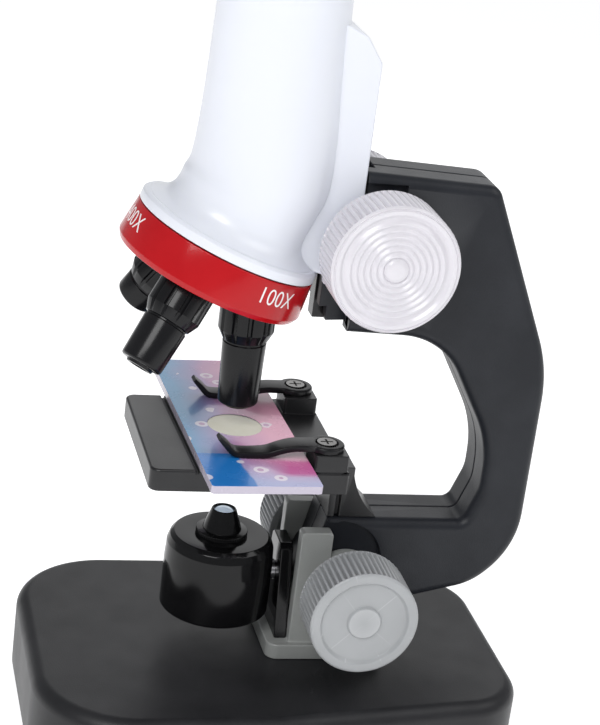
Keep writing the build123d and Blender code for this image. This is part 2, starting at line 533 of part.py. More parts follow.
def head_body():
    body = head_outside()
    body -= rod_z(0, 0, BORE_BOTTOM_Z, 140, BORE_R)
    body -= rod_z(0, 0, 30, BORE_BOTTOM_Z + 4, LIGHT_BORE_R)
    back = CARRIAGE_BACK_Y + 0.1
    way = make_face(Polyline((-WAY_WIDE, WAY_FRONT_Y), (WAY_WIDE, WAY_FRONT_Y),
                             (WAY_SLIM, back), (-WAY_SLIM, back), close=True))
    body -= Pos(0, 0, 30) * extrude(way, 64)
    body -= turret_plane(8) * Pos(0, 0, 10) * Cylinder(PIVOT_R, 20)
    ball_seat = turret_plane(20.0) * Pos(0, -BALL_OUT, 0)
    body -= ball_seat * Sphere(BALL_R + RUN)
    # flats on the flare that leave room for the focus knobs
    knob_room = block(KNOB_IN - 0.7, 30, 11.5, 40, 30, 75)
    keep("head_body", body - knob_room - mirrored(knob_room))
    keep("click_ball", ball_seat * Sphere(BALL_R))


def trim_ring():
    trim = rod_z(0, 0, TUBE_TOP_Z, TUBE_TOP_Z + TRIM_T, TUBE_TOP_R - 0.3)
    trim = fillet(trim.edges().group_by(Axis.Z)[-1], 0.8)
    keep("head_trim_ring", trim - rod_z(0, 0, TUBE_TOP_Z, TUBE_TOP_Z + 4, BORE_R))


def turret_pivot_screw():
    pivot = turret_plane(9) * Pos(0, 0, 8.5) * Cylinder(PIVOT_R, 17.0)
    pivot += turret_plane(26.0) * Pos(0, 0, 0.7) * Cylinder(3.0, 1.4)
    pivot -= turret_plane(26.8) * Pos(0, 0, 0.6) * Box(4.4, 0.6, 1.2)
    keep("turret_pivot_screw", pivot)


def focus_rack():
    """Straight rack, teeth facing the arm, fixed in the head's dovetail way."""
    pitch = pi * MODULE
    slack = 0.06
    lean = tan(radians(PRESSURE))
    pitch_y = FOCUS_Y - PITCH_R
    root_y = pitch_y - DEDENDUM
    wide = pitch / 4 + DEDENDUM * lean - slack
    slim = pitch / 4 - ADDENDUM * lean - slack
    body = block(-RACK_HALF, RACK_HALF, WAY_FRONT_Y, root_y, RACK_BOTTOM_Z, RACK_TOP_Z)
    below = int((FOCUS_Z - RACK_BOTTOM_Z) / pitch)
    above = int((RACK_TOP_Z - FOCUS_Z) / pitch)
    for i in range(-below, above):
        z = FOCUS_Z + (i + 0.5) * pitch
        tooth = ((root_y - 0.2, z - wide), (root_y, z - wide), (pitch_y + ADDENDUM, z - slim),
                 (pitch_y + ADDENDUM, z + slim), (root_y, z + wide), (root_y - 0.2, z + wide))
        body += side_plate(tooth, -RACK_HALF, RACK_HALF)
    keep("focus_rack", body)


# ---------------------------------------------------------------- focus drive
def pinion_face():
    """Involute pinion; one of its gaps faces the rack."""
    base_r = PITCH_R * cos(radians(PRESSURE))
    tip_r, root_r = PITCH_R + ADDENDUM, PITCH_R - DEDENDUM
    slack = 0.05 / PITCH_R

    def roll(r):
        a = sqrt(max((r / base_r) ** 2 - 1, 0))
        return a - atan2(a, 1)

    half_at_pitch = pi / (2 * PINION_TEETH) - slack
    radii = [root_r] + [base_r + (tip_r - base_r) * k / 4 for k in range(5)]
    flank = [(r, half_at_pitch + roll(PITCH_R) - roll(max(r, base_r))) for r in radii]
    points = []
    for i in range(PINION_TEETH):
        centre = 2 * pi * i / PINION_TEETH
        for r, half in flank:
            points.append((r * cos(centre - half), r * sin(centre - half)))
        for r, half in reversed(flank):
            points.append((r * cos(centre + half), r * sin(centre + half)))
    return make_face(Polyline(*points, close=True))


def focus_knob():
    """Serrated knob; its face is ringed like a ripple and slightly domed."""
    depth = KNOB_OUT - KNOB_IN
    face = [(0, depth + 0.4), (2.6, depth + 0.2), (2.9, depth - 0.5)]
    for i in range(KNOB_RINGS):
        r = KNOB_RING_R + KNOB_RING_PITCH * i
        z = depth - 0.25 * i / KNOB_RINGS
        face += [(r + 0.15, z), (r + 0.75, z), (r + 1.0, z - 0.5)]
    face += [(12.2, depth - 1.4), (13.6, depth - 1.4), (14.0, depth), (15.0, depth), (16.0, depth - 1.0),
             (16.0, 0), (0, 0)]
    rim = extrude(serrated(KNOB_R, KNOB_TEETH, 0.45), depth) + Pos(0, 0, depth) * Cylinder(12, 4)
    place = Plane((KNOB_IN, FOCUS_Y, FOCUS_Z), x_dir=(0, 1, 0), z_dir=(1, 0, 0))
    knob = place * (spun(face) & rim)
    knob += rod_x(ARM_HALF + GAP, KNOB_IN, FOCUS_Y, FOCUS_Z, 6.0)
    return knob - rod_x(ARM_HALF, SHAFT_HALF + GAP, FOCUS_Y, FOCUS_Z, SHAFT_R)


def focus_drive():
    keep("focus_shaft", rod_x(-SHAFT_HALF, SHAFT_HALF, FOCUS_Y, FOCUS_Z, SHAFT_R))
    pinion = Pos(0, FOCUS_Y, FOCUS_Z) * side_face(pinion_face(), -2.4, 2.4)
    keep("focus_pinion", pinion - rod_x(-3, 3, FOCUS_Y, FOCUS_Z, SHAFT_R))
    keep("focus_knob_right", focus_knob())
    keep("focus_knob_left", mirrored(focus_knob()))


# ---------------------------------------------------------------- turret and objectives
def objective_plane(turn, along=0.0):
    """Frame of one objective: its Z runs down the objective's axis from the apex."""
    about = Axis((0, 0, APEX_Z), turret_plane().z_dir)
    line = Vector(0, 0, -1).rotate(about, turn)
    return Plane(Vector(0, 0, APEX_Z) + line * along, z_dir=line)


def core(r, along0, along1):
    """Cylinder on a frame's Z between two distances from its origin."""
    return Pos(0, 0, (along0 + along1) / 2) * Cylinder(r, along1 - along0)


def turret():
    """Red number ring, and the domed disc that carries the objectives."""
    keep("turret_ring", spun(((RING_BORE_R - 0.21, RING_TOP), (RING_TOP_R, RING_TOP), (RING_CREASE_R, RING_CREASE),
                              (RING_LIP_R, RING_LIP), (RING_BORE_R, RING_LIP), (RING_BORE_R, RING_CREASE - 1),
                              (RING_BORE_R - 0.21, RING_TOP + 2)), turret_plane()))
    dome = core(DISC_R, DISC_TOP, 36) & Sphere(DOME_R)
    dome -= core(DISC_R - 2, 24, 44) & Sphere(DOME_R - DOME_WALL)
    dome += core(PIVOT_BOSS_R, 23.3, 25.9)
    dome -= core(PIVOT_R + RUN, 18, 30) + core(PIVOT_POCKET_R, 25.9, 36.1)
    plate = turret_plane() * dome
    for _, turn, *_ in OBJECTIVES:
        plate -= objective_plane(turn) * core(4.6, 18, 38)
    keep("turret_plate", plate)


def ribbed(r, ribs, depth):
    """Round face with broad ribs and narrow grooves."""
    points = []
    for i in range(ribs):
        for step, radius in ((0.0, r), (0.28, r), (0.56, r), (0.68, r - depth), (0.88, r - depth)):
            a = 2 * pi * (i + step) / ribs
            points.append((radius * cos(a), radius * sin(a)))
    return make_face(Polyline(*points, close=True))


def objective(name, turn, tip, r0, r1):
    """Ribbed collar, tapering barrel and front lens on one line through the apex."""
    frame = objective_plane(turn)
    collar = Pos(0, 0, DOME_R) * extrude(ribbed(COLLAR_R, COLLAR_RIBS, COLLAR_GROOVE), COLLAR_CONE - DOME_R)
    cone_t = COLLAR_END - COLLAR_CONE
    collar += Pos(0, 0, COLLAR_CONE + cone_t / 2) * Cone(COLLAR_R - 0.3, r0 + 0.1, cone_t)
    collar += core(NECK_R, NECK_TOP, DOME_R)
    keep("objective_%s_collar" % name, frame * (collar - core(LIGHT_R, 26, 46)))

    length = tip - COLLAR_END
    barrel = Pos(0, 0, COLLAR_END + length / 2) * Cone(r0, r1, length)
    barrel = fillet(barrel.edges().group_by(Axis.Z)[-1], 0.7)
    barrel += core(2.7, tip, tip + 0.7)
    barrel -= core(LIGHT_R, COLLAR_END - 2, tip - 1) + core(TIP_HOLE_R, tip - 3, tip + 3)
    keep("objective_%s_barrel" % name, frame * barrel)
    keep("objective_%s_lens" % name, frame * core(TIP_HOLE_R, tip - 0.65, tip + 0.25))


# ---------------------------------------------------------------- eyepiece
def eyepiece():
    """Pull-out eyepiece: stepped barrel with a field stop, two lenses and a soft eyecup."""
    seat_z = TUBE_TOP_Z + TRIM_T + GAP
    barrel = rod_z(0, 0, 92, seat_z, BORE_R - RUN) + rod_z(0, 0, seat_z, EYE_TUBE_TOP_Z, EYE_TUBE_R)
    barrel -= rod_z(0, 0, 90, 150, EYE_BORE_R)
    barrel += rod_z(0, 0, 96, 98, EYE_BORE_R + 0.2) - rod_z(0, 0, 96, 98, 5.0)
    keep("eyepiece_barrel", barrel)
    z0 = EYE_TUBE_TOP_Z + RUN
    keep("eyecup", spun(((10.2, z0), (EYECUP_R - 0.2, z0), (EYECUP_R, 143.0), (EYECUP_R - 0.3, 148.2),
                         (12.4, EYEPIECE_TOP_Z), (11.6, 148.4), (11.0, 144.5), (8.4, 143.2), (8.4, z0))))
    keep("eye_lens", rod_z(0, 0, 137.5, 140.5, EYE_BORE_R))
    keep("field_lens", rod_z(0, 0, 98.1, 100.0, EYE_BORE_R))


# ---------------------------------------------------------------- lamp
def lamp_housing():
    top, low = LAMP_TOP_Z, LAMP_BOTTOM_Z
    shell = spun(((CONE_BASE_R, top), (LAMP_FLAT_R, top), (12.7, top - 0.7), (13.2, top - 2.2), (LAMP_R, top - 6),
                  (LAMP_R, low + 1.0), (LAMP_R - 0.8, low), (11.6, low), (11.6, top - LAMP_WALL),
                  (CONE_BASE_R, top - LAMP_WALL)))
    keep("lamp_housing", shell - rod_y(0, 8, 20, LAMP_Z, LAMP_PIN_R))


def lamp_light():
    """Cone that stands out of the housing, the clear LED in its mouth, and the board below."""
    top = LAMP_TOP_Z
    keep("lamp_cone", spun(((CONE_TOP_R, CONE_TOP_Z - 0.3), (CONE_TOP_R + 0.35, CONE_TOP_Z - 0.5),
                            (CONE_BASE_R, -25.2), (CONE_FLANGE_R, -25.3), (CONE_FLANGE_R, top),
                            (CONE_BASE_R - 0.1, top), (CONE_BASE_R - 0.1, top - 3.2), (3.6, top - 3.2),
                            (3.6, -26.0), (2.5, -21.6))))
    dome = Pos(0, 0, LED_Z) * Sphere(LED_R) & block(-3, 3, -3, 3, LED_Z, -18)
    keep("led", dome + rod_z(0, 0, -24.0, LED_Z, LED_R))
    keep("led_board", rod_z(0, 0, -31.6, -30.2, 9.0) + rod_z(0, 0, -30.2, -24.0, 1.2))


def lamp_mirror():
    """Mirror in the lamp's other side, for use with daylight."""
    low = LAMP_BOTTOM_Z
    keep("mirror_bezel", spun(((11.6, low + 2.6), (11.6, low + 0.2), (9.9, low + 0.2), (9.9, low + 1.2),
                               (10.7, low + 1.2), (10.7, low + 2.6))))
    keep("mirror", rod_z(0, 0, low + 1.2, low + 2.6, 10.7))


def lamp_mount():
    """Upright bracket on the saddle and the pin that the lamp flips on."""
    front, back = LAMP_BRACKET_Y
    pin = rod_y(0, 9.6, back + 0.1, LAMP_Z, LAMP_PIN_R)
    keep("lamp_pin", pin + rod_y(0, 8.6, 9.6, LAMP_Z, LAMP_PIN_HEAD_R))

    edge = ((9.0, SADDLE_Z), (6.6, LAMP_Z), (5.2, -28.4), (3.6, -27.4))
    outline = edge + tuple((-x, z) for x, z in reversed(edge))
    plate = make_face(Polyline(*outline, close=True))
    bracket = Plane((0, back, 0), x_dir=(1, 0, 0), z_dir=(0, -1, 0)) * extrude(plate, back - front)
    bracket += block(-6, 6, back, LAMP_TAB_Y, SADDLE_Z, SADDLE_Z + 1.6)
    bracket -= rod_z(0, LAMP_SCREW_Y, SADDLE_Z, SADDLE_Z + 1.6, PASS_R)
    bracket -= rod_y(0, 10, 20, LAMP_Z, LAMP_PIN_R + RUN)
    keep("lamp_bracket", bracket)
    shank = rod_z(0, LAMP_SCREW_Y, SADDLE_Z - 3.0, SADDLE_Z + 1.6, PILOT_R)
    keep("bracket_screw", shank + rod_z(0, LAMP_SCREW_Y, SADDLE_Z + 1.6, SADDLE_Z + 2.7, 2.2))


base_shell()
base_cover()
battery_door()
feet_and_screws()
batteries()
power_switch()
tilt_fork()
tilt_axle_and_knobs()
arm_shells()
stage_plate()
stage_bracket()
clips()
slide()
head_body()
trim_ring()
turret_pivot_screw()
focus_rack()
focus_drive()
turret()
for row in OBJECTIVES:
    objective(*row)
eyepiece()
lamp_housing()
lamp_light()
lamp_mirror()
lamp_mount()

os.makedirs("parts", exist_ok=True)
for name, solid in parts.items():
    export_step(Pos(0, AXIS_Y, -TABLE_Z) * solid, "parts/%s.step" % name)
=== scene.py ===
import json
from math import acos, cos, pi, radians, sin, tan

import bmesh
import bpy
from mathutils import Matrix, Vector

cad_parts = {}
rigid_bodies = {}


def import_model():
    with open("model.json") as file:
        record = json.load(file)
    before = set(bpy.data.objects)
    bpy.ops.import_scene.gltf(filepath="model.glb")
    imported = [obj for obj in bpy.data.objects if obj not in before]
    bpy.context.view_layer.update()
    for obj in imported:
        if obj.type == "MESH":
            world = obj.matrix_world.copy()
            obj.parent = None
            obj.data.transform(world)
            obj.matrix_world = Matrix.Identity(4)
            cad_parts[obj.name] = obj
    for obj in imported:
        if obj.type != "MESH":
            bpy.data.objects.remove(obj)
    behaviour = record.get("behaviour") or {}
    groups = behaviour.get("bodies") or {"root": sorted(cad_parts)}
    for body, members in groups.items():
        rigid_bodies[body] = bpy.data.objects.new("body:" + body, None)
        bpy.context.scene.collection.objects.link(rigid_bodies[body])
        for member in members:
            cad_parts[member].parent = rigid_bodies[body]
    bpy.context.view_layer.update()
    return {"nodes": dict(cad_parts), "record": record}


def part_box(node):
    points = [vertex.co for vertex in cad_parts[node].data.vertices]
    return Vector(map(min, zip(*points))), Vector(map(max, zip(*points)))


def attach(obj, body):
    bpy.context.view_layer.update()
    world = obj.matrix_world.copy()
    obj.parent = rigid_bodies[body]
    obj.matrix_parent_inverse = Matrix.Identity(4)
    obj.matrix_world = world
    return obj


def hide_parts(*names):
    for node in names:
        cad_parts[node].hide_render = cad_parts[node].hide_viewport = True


for leftover in list(bpy.data.objects):
    bpy.data.objects.remove(leftover)
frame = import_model()

# ---- datum: the optical axis and the top of the stage; lengths below are millimetres from there
MM = 0.001
CARD_LIFT = 0.05
LED_LOW, LED_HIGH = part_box("led")
AXIS = Vector((0, (LED_LOW.y + LED_HIGH.y) / 2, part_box("slide_card")[0].z - CARD_LIFT * MM))

# ---- head; the tube's back is flat at the front of the dovetail way, so it clears the arm's rail
WAY_FRONT_Y = 14.8
TUBE_TOP, TUBE_BORE_R, TUBE_BORE_FLOOR = 116.0, 12.0, 62.0
LIGHT_PATH_R = 4.2

# ---- eyepiece
EYE_BOTTOM, EYE_SHOULDER, EYE_TOP = 92.0, 119.3, 141.0
EYE_SLEEVE_R, EYE_TUBE_R, EYE_BORE_R = 11.95, 13.4, 9.6

# ---- turret
TURRET_TILT, APEX_Z = 21.0, 67.4
FLANGE_BOTTOM, FLANGE_R = 19.7, 22.4
BAND_TOP, BAND_TOP_R = 20.0, 22.39
BAND_CREASE, BAND_CREASE_R = 28.35, 23.3
BAND_LIP, BAND_LIP_R = 29.7, 22.6
DOME_R, DOME_RIM_R = 32.6, 20.9
PIVOT_BORE_R, PIVOT_POCKET_R, PIVOT_POCKET_FLOOR = 1.4, 3.6, 25.9
# name, turn about the turret, length from the apex to the tip, radius at the collar and at the tip
OBJECTIVES = (
    ("long", 0.0, 59.3, 5.25, 4.8),
    ("middle", 120.0, 54.4, 5.35, 5.1),
    ("short", -120.0, 48.7, 5.3, 5.1),
)
NUMBERS = (("100X", 118.0), ("400X", 6.0), ("1200X", -114.0))
COLLAR_R, COLLAR_END = 6.7, 43.0

# ---- knobs
FOCUS_Y, FOCUS_Z, FOCUS_R, FOCUS_IN, FOCUS_OUT = 27.25, 50.9, 15.2, 11.6, 24.15
TILT_Y, TILT_Z, TILT_R, TILT_IN, TILT_OUT, TILT_WEB = 29.9, -34.9, 13.2, 18.4, 31.0, 5.0
KNOB_TEETH, STEPS_PER_TOOTH = 60, 10

# ---- clips: the screw's bore, and the pocket that its head sits in
SCREW_BORE_R, SEAT_R, SEAT_LIFT = 1.35, 2.72, 0.96

# ---- lamp
LAMP_Z, LAMP_TOP, LAMP_R = -36.5, -26.6, 13.4
LAMP_BOTTOM = 2 * LAMP_Z - LAMP_TOP


# ------------------------------------------------------------------ materials
def nodes_of(name):
    """Empty node material with a Principled shader on its output."""
    material = bpy.data.materials.new(name)
    material.use_nodes = True
    tree = material.node_tree
    tree.nodes.clear()
    shader = tree.nodes.new("ShaderNodeBsdfPrincipled")
    output = tree.nodes.new("ShaderNodeOutputMaterial")
    tree.links.new(shader.outputs[0], output.inputs[0])
    return material, tree, shader


def node(tree, kind, **inputs):
    """New node with its inputs set by name; a socket given as a value is linked."""
    made = tree.nodes.new(kind)
    for key, value in inputs.items():
        put(tree, made.inputs[key.replace("_", " ")], value)
    return made


def put(tree, socket, value):
    if isinstance(value, bpy.types.NodeSocket):
        tree.links.new(value, socket)
    elif isinstance(value, (tuple, list)) and len(value) == 3 and len(socket.default_value) == 4:
        socket.default_value = (*value, 1.0)
    else:
        socket.default_value = value


def noise(tree, scale, detail=2.0, stretch=(1, 1, 1)):
    """Noise in metres of the object's own space, 0 to 1."""
    space = node(tree, "ShaderNodeTexCoord").outputs["Object"]
    scaled = node(tree, "ShaderNodeMapping", Vector=space, Scale=stretch).outputs[0]
    return node(tree, "ShaderNodeTexNoise", Vector=scaled, Scale=scale, Detail=detail).outputs["Fac"]


def ramp(tree, value, low, high, out_low, out_high):
    """Linear map of a value, clamped."""
    made = tree.nodes.new("ShaderNodeMapRange")
    for socket, given in zip(made.inputs, (value, low, high, out_low, out_high)):
        put(tree, socket, given)
    return made.outputs[0]


def mixed(tree, factor, a, b):
    made = tree.nodes.new("ShaderNodeMix")
    made.data_type = "RGBA"
    put(tree, made.inputs["Factor"], factor)
    put(tree, made.inputs[6], a)
    put(tree, made.inputs[7], b)
    return made.outputs[2]


def moulded(name, color, rough, grain=0.0, painted_edge_highlight=0.12, coat=0.0, tint=0.12, glow=0.0, shine=0.5):
    """Injection-moulded plastic: slight mottling, handling smudges, fine grain and paler convex edges, a
    painted highlight.
    """
    material, tree, shader = nodes_of(name)
    mottle = noise(tree, 60, 4)
    darker = [c * (1 - tint) for c in color]
    lighter = [min(1, c * (1 + tint) + 0.004) for c in color]
    base = mixed(tree, ramp(tree, mottle, 0.35, 0.65, 0, 1), darker, lighter)
    # painted highlight: convex edges (high pointiness) are mixed towards a paler copy of the colour
    edge = node(tree, "ShaderNodeNewGeometry").outputs["Pointiness"]
    highlit_edge_color = [min(1, c + painted_edge_highlight) for c in color]
    base = mixed(tree, ramp(tree, edge, 0.53, 0.62, 0, 0.6), base, highlit_edge_color)
    put(tree, shader.inputs["Base Color"], base)
    smudge = noise(tree, 140, 5)
    put(tree, shader.inputs["Roughness"], ramp(tree, smudge, 0.3, 0.7, max(0.04, rough - 0.02), rough + 0.03))
    shader.inputs["Specular IOR Level"].default_value = shine
    shader.inputs["Coat Weight"].default_value = coat
    shader.inputs["Coat Roughness"].default_value = 0.08
    shader.inputs["Subsurface Weight"].default_value = glow
    shader.inputs["Subsurface Radius"].default_value = (0.002, 0.002, 0.0025)
    if grain:
        fine = noise(tree, 2600, 3)
        bump = node(tree, "ShaderNodeBump", Strength=grain, Distance=0.0001, Height=fine)
        put(tree, shader.inputs["Normal"], bump.outputs[0])
    return material


def metal(name, color, rough, turned=True):
    """Plated or turned metal with fine lathe marks."""
    material, tree, shader = nodes_of(name)
    marks = noise(tree, 900, 3, (1, 1, 12) if turned else (1, 1, 1))
    put(tree, shader.inputs["Base Color"], mixed(tree, marks, [c * 0.8 for c in color], color))
    put(tree, shader.inputs["Roughness"], ramp(tree, marks, 0.3, 0.7, rough - 0.05, rough + 0.1))
    shader.inputs["Metallic"].default_value = 1.0
    bump = node(tree, "ShaderNodeBump", Strength=0.15, Distance=0.00005, Height=marks)
    put(tree, shader.inputs["Normal"], bump.outputs[0])
    return material


def clear(name, color, rough=0.03, weight=0.9, haze=0.0):
    """Glass or clear film."""
    material, tree, shader = nodes_of(name)
    dust = noise(tree, 300, 5)
    put(tree, shader.inputs["Base Color"], mixed(tree, ramp(tree, dust, 0.3, 0.7, 0, haze), color, (1, 1, 1)))
    put(tree, shader.inputs["Roughness"], ramp(tree, dust, 0.4, 0.7, rough, rough + 0.1))
    shader.inputs["Transmission Weight"].default_value = weight
    shader.inputs["IOR"].default_value = 1.5
    return material


def led_clear():
    """Milky epoxy that shows a little of its own pale blue light."""
    material, tree, shader = nodes_of("led_clear")
    cloud = noise(tree, 500, 3)
    put(tree, shader.inputs["Base Color"], mixed(tree, cloud, (0.62, 0.74, 0.95), (0.85, 0.92, 1.0)))
    shader.inputs["Roughness"].default_value = 0.12
    shader.inputs["Emission Color"].default_value = (0.7, 0.84, 1.0, 1.0)
    shader.inputs["Emission Strength"].default_value = 0.35
    shader.inputs["Coat Weight"].default_value = 0.6
    return material


def rubber():
    material, tree, shader = nodes_of("rubber")
    dust = noise(tree, 700, 5)
    put(tree, shader.inputs["Base Color"], mixed(tree, dust, (0.018, 0.018, 0.018), (0.05, 0.05, 0.052)))
    put(tree, shader.inputs["Roughness"], ramp(tree, dust, 0.3, 0.7, 0.6, 0.85))
    bump = node(tree, "ShaderNodeBump", Strength=0.3, Distance=0.0001, Height=dust)
    put(tree, shader.inputs["Normal"], bump.outputs[0])
    return material


def cell_wrap():
    """Battery wrap: one plain band of colour between plated ends."""
    material, tree, shader = nodes_of("cell_wrap")
    space = node(tree, "ShaderNodeTexCoord").outputs["Object"]
    along = node(tree, "ShaderNodeSeparateXYZ", Vector=space).outputs["X"]
    near_end = ramp(tree, node_abs(tree, along), 0.0222, 0.0224, 0, 1)
    print_band = ramp(tree, along, 0.006, 0.0062, 0, 1)
    wrap = mixed(tree, print_band, (0.05, 0.16, 0.07), (0.02, 0.02, 0.022))
    put(tree, shader.inputs["Base Color"], mixed(tree, near_end, wrap, (0.6, 0.6, 0.6)))
    put(tree, shader.inputs["Metallic"], near_end)
    put(tree, shader.inputs["Roughness"], ramp(tree, noise(tree, 400, 3), 0.3, 0.7, 0.22, 0.34))
    return material


def node_abs(tree, value):
    made = tree.nodes.new("ShaderNodeMath")
    made.operation = "ABSOLUTE"
    put(tree, made.inputs[0], value)
    return made.outputs[0]


def arithmetic(tree, kind, a, b=0.0):
    """One of the Math node's operations on two values."""
    made = tree.nodes.new("ShaderNodeMath")
    made.operation = kind
    put(tree, made.inputs[0], a)
    put(tree, made.inputs[1], b)
    return made.outputs[0]


def card_print():
    """Printed specimen card: a wash from light blue through lavender to pink, on a pale card."""
    material, tree, shader = nodes_of("card_print")
    low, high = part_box("slide_card")
    space = node(tree, "ShaderNodeTexCoord").outputs["Object"]
    xyz = node(tree, "ShaderNodeSeparateXYZ", Vector=space)
    # across runs from the card's front edge (0) to its back edge (1); along from far end to near end
    across = ramp(tree, xyz.outputs["Y"], low.y, high.y, 0, 1)
    along = ramp(tree, xyz.outputs["X"], low.x, high.x, 0, 1)
    drift = ramp(tree, noise(tree, 45, 2), 0.3, 0.7, -0.08, 0.08)
    across = arithmetic(tree, "ADD", across, drift)
    wash = mixed(tree, ramp(tree, across, 0.1, 0.5, 0, 1), (0.10, 0.34, 0.60), (0.50, 0.27, 0.52))
    wash = mixed(tree, ramp(tree, across, 0.4, 0.8, 0, 1), wash, (0.86, 0.40, 0.56))
    near = ramp(tree, along, 0.80, 0.97, 0, 1)
    wash = mixed(tree, arithmetic(tree, "MULTIPLY", near, 0.85), wash, (0.4, 0.5, 0.78))
    # deep blue block in the near front corner, purple behind it
    corner_along = ramp(tree, along, 0.765, 0.77, 0, 1)
    corner_across = ramp(tree, across, 0.42, 0.4, 0, 1)
    corner = arithmetic(tree, "MULTIPLY", corner_along, corner_across)
    wash = mixed(tree, corner, wash, (0.015, 0.20, 0.60))
    # magenta band behind that block, along the back edge
    band_start = ramp(tree, along, 0.80, 0.82, 0, 1)
    band_end = ramp(tree, along, 0.93, 0.90, 0, 1)
    band = arithmetic(tree, "MULTIPLY", band_start, band_end)
    band = arithmetic(tree, "MULTIPLY", band, ramp(tree, across, 0.62, 0.80, 0, 1))
    wash = mixed(tree, arithmetic(tree, "MULTIPLY", band, 0.75), wash, (0.72, 0.10, 0.38))
    wash = dotted(tree, wash, space)
    up = node(tree, "ShaderNodeSeparateXYZ", Vector=node(tree, "ShaderNodeNewGeometry").outputs["Normal"])
    top = ramp(tree, up.outputs["Z"], 0.5, 0.6, 0, 1)
    put(tree, shader.inputs["Base Color"], mixed(tree, top, (0.50, 0.46, 0.55), wash))
    put(tree, shader.inputs["Roughness"], ramp(tree, noise(tree, 200, 3), 0.3, 0.7, 0.2, 0.3))
    shader.inputs["Coat Weight"].default_value = 0.25
    return material


def dotted(tree, wash, space):
    """Scattered pale and dark cell shapes over the print, the kind any specimen card could carry."""
    cells = node(tree, "ShaderNodeTexVoronoi", Vector=space, Scale=230.0)
    spread = node(tree, "ShaderNodeSeparateColor", Color=cells.outputs["Color"])
    chosen = ramp(tree, spread.outputs[0], 0.84, 0.85, 0, 1)
    ring = arithmetic(tree, "MULTIPLY", ramp(tree, cells.outputs["Distance"], 0.40, 0.36, 0, 1), chosen)
    core = arithmetic(tree, "MULTIPLY", ramp(tree, cells.outputs["Distance"], 0.20, 0.17, 0, 1), chosen)
    wash = mixed(tree, arithmetic(tree, "MULTIPLY", ring, 0.75), wash, (0.93, 0.86, 0.92))
    return mixed(tree, arithmetic(tree, "MULTIPLY", core, 0.7), wash, (0.42, 0.16, 0.4))


def board():
    material, tree, shader = nodes_of("board")
    space = node(tree, "ShaderNodeTexCoord").outputs["Object"]
    tracks = node(tree, "ShaderNodeTexVoronoi", Scale=500.0, Vector=space)
    line = ramp(tree, tracks.outputs["Distance"], 0.3, 0.35, 0, 1)
    put(tree, shader.inputs["Base Color"], mixed(tree, line, (0.02, 0.16, 0.06), (0.03, 0.28, 0.11)))
    shader.inputs["Roughness"].default_value = 0.35
    return material


def mirror_glass():
    material, tree, shader = nodes_of("mirror_glass")
    put(tree, shader.inputs["Roughness"], ramp(tree, noise(tree, 200, 4), 0.4, 0.8, 0.02, 0.08))
    shader.inputs["Base Color"].default_value = (0.88, 0.9, 0.92, 1)
    shader.inputs["Metallic"].default_value = 1.0
    return material


# each moulded material's edge value sets how far its convex edges are lifted as a painted highlight
MATERIALS = {
    "base_black": moulded("base_black", (0.014, 0.014, 0.016), 0.42, grain=0.35, painted_edge_highlight=0.05, shine=0.3),
    "arm_charcoal": moulded("arm_charcoal", (0.012, 0.0135, 0.018), 0.40, grain=0.35, painted_edge_highlight=0.05, shine=0.28),
    "stage_grey": moulded("stage_grey", (0.013, 0.013, 0.014), 0.32, grain=0.2, painted_edge_highlight=0.06, shine=0.35),
    "head_white": moulded("head_white", (0.74, 0.76, 0.82), 0.3, painted_edge_highlight=0.01, tint=0.0, coat=0.15, glow=0.1),
    "trim_black": moulded("trim_black", (0.008, 0.008, 0.009), 0.2, painted_edge_highlight=0.03, shine=0.3),
    "turret_red": moulded("turret_red", (0.44, 0.004, 0.008), 0.16, painted_edge_highlight=0.02, tint=0.05, coat=0.1,
                          shine=0.25, glow=0.02),
    "turret_black": moulded("turret_black", (0.006, 0.006, 0.007), 0.3, grain=0.1, painted_edge_highlight=0.03, shine=0.25),
    "objective_black": moulded("objective_black", (0.004, 0.004, 0.005), 0.2, painted_edge_highlight=0.04, shine=0.25),
    "knob_white": moulded("knob_white", (0.68, 0.66, 0.70), 0.24, painted_edge_highlight=0.01, tint=0.0, coat=0.3),
    "knob_grey": moulded("knob_grey", (0.36, 0.37, 0.38), 0.34, grain=0.1, painted_edge_highlight=0.12, tint=0.04),
    "fork_grey": moulded("fork_grey", (0.30, 0.31, 0.30), 0.36, grain=0.2, painted_edge_highlight=0.14, tint=0.05),
    "lamp_black": moulded("lamp_black", (0.003, 0.003, 0.0035), 0.12, painted_edge_highlight=0.02, shine=0.25),
    "led_clear": led_clear(),
    "board_green": board(),
    "steel": metal("steel", (0.62, 0.62, 0.64), 0.28),
    "screw_steel": metal("screw_steel", (0.24, 0.235, 0.23), 0.25, turned=False),
    "contact_brass": metal("contact_brass", (0.8, 0.6, 0.3), 0.3),
    "cell_wrap": cell_wrap(),
    "foot_rubber": rubber(),
    "eyecup_rubber": rubber(),
    "lens_glass": clear("lens_glass", (0.85, 0.93, 0.97)),
    "mirror_glass": mirror_glass(),
    "card_print": card_print(),
    "window_clear": clear("window_clear", (0.80, 0.77, 0.60), 0.12, 0.12, 0.15),
    "eyepiece_black": moulded("eyepiece_black", (0.006, 0.006, 0.007), 0.25, painted_edge_highlight=0.03, shine=0.3),
    "clip_black": moulded("clip_black", (0.007, 0.007, 0.008), 0.3, grain=0.15, painted_edge_highlight=0.04, shine=0.24),
    "switch_black": moulded("switch_black", (0.012, 0.012, 0.012), 0.4, painted_edge_highlight=0.03, shine=0.3),
    "pinion_white": moulded("pinion_white", (0.62, 0.62, 0.58), 0.4, painted_edge_highlight=0.02, tint=0.03),
}
NUMBER_WHITE = moulded("number_white", (0.85, 0.83, 0.83), 0.3, painted_edge_highlight=0.0, tint=0.02)
SLOTS = {row["node"]: row["material_slot"] for row in frame["record"]["subparts"]}


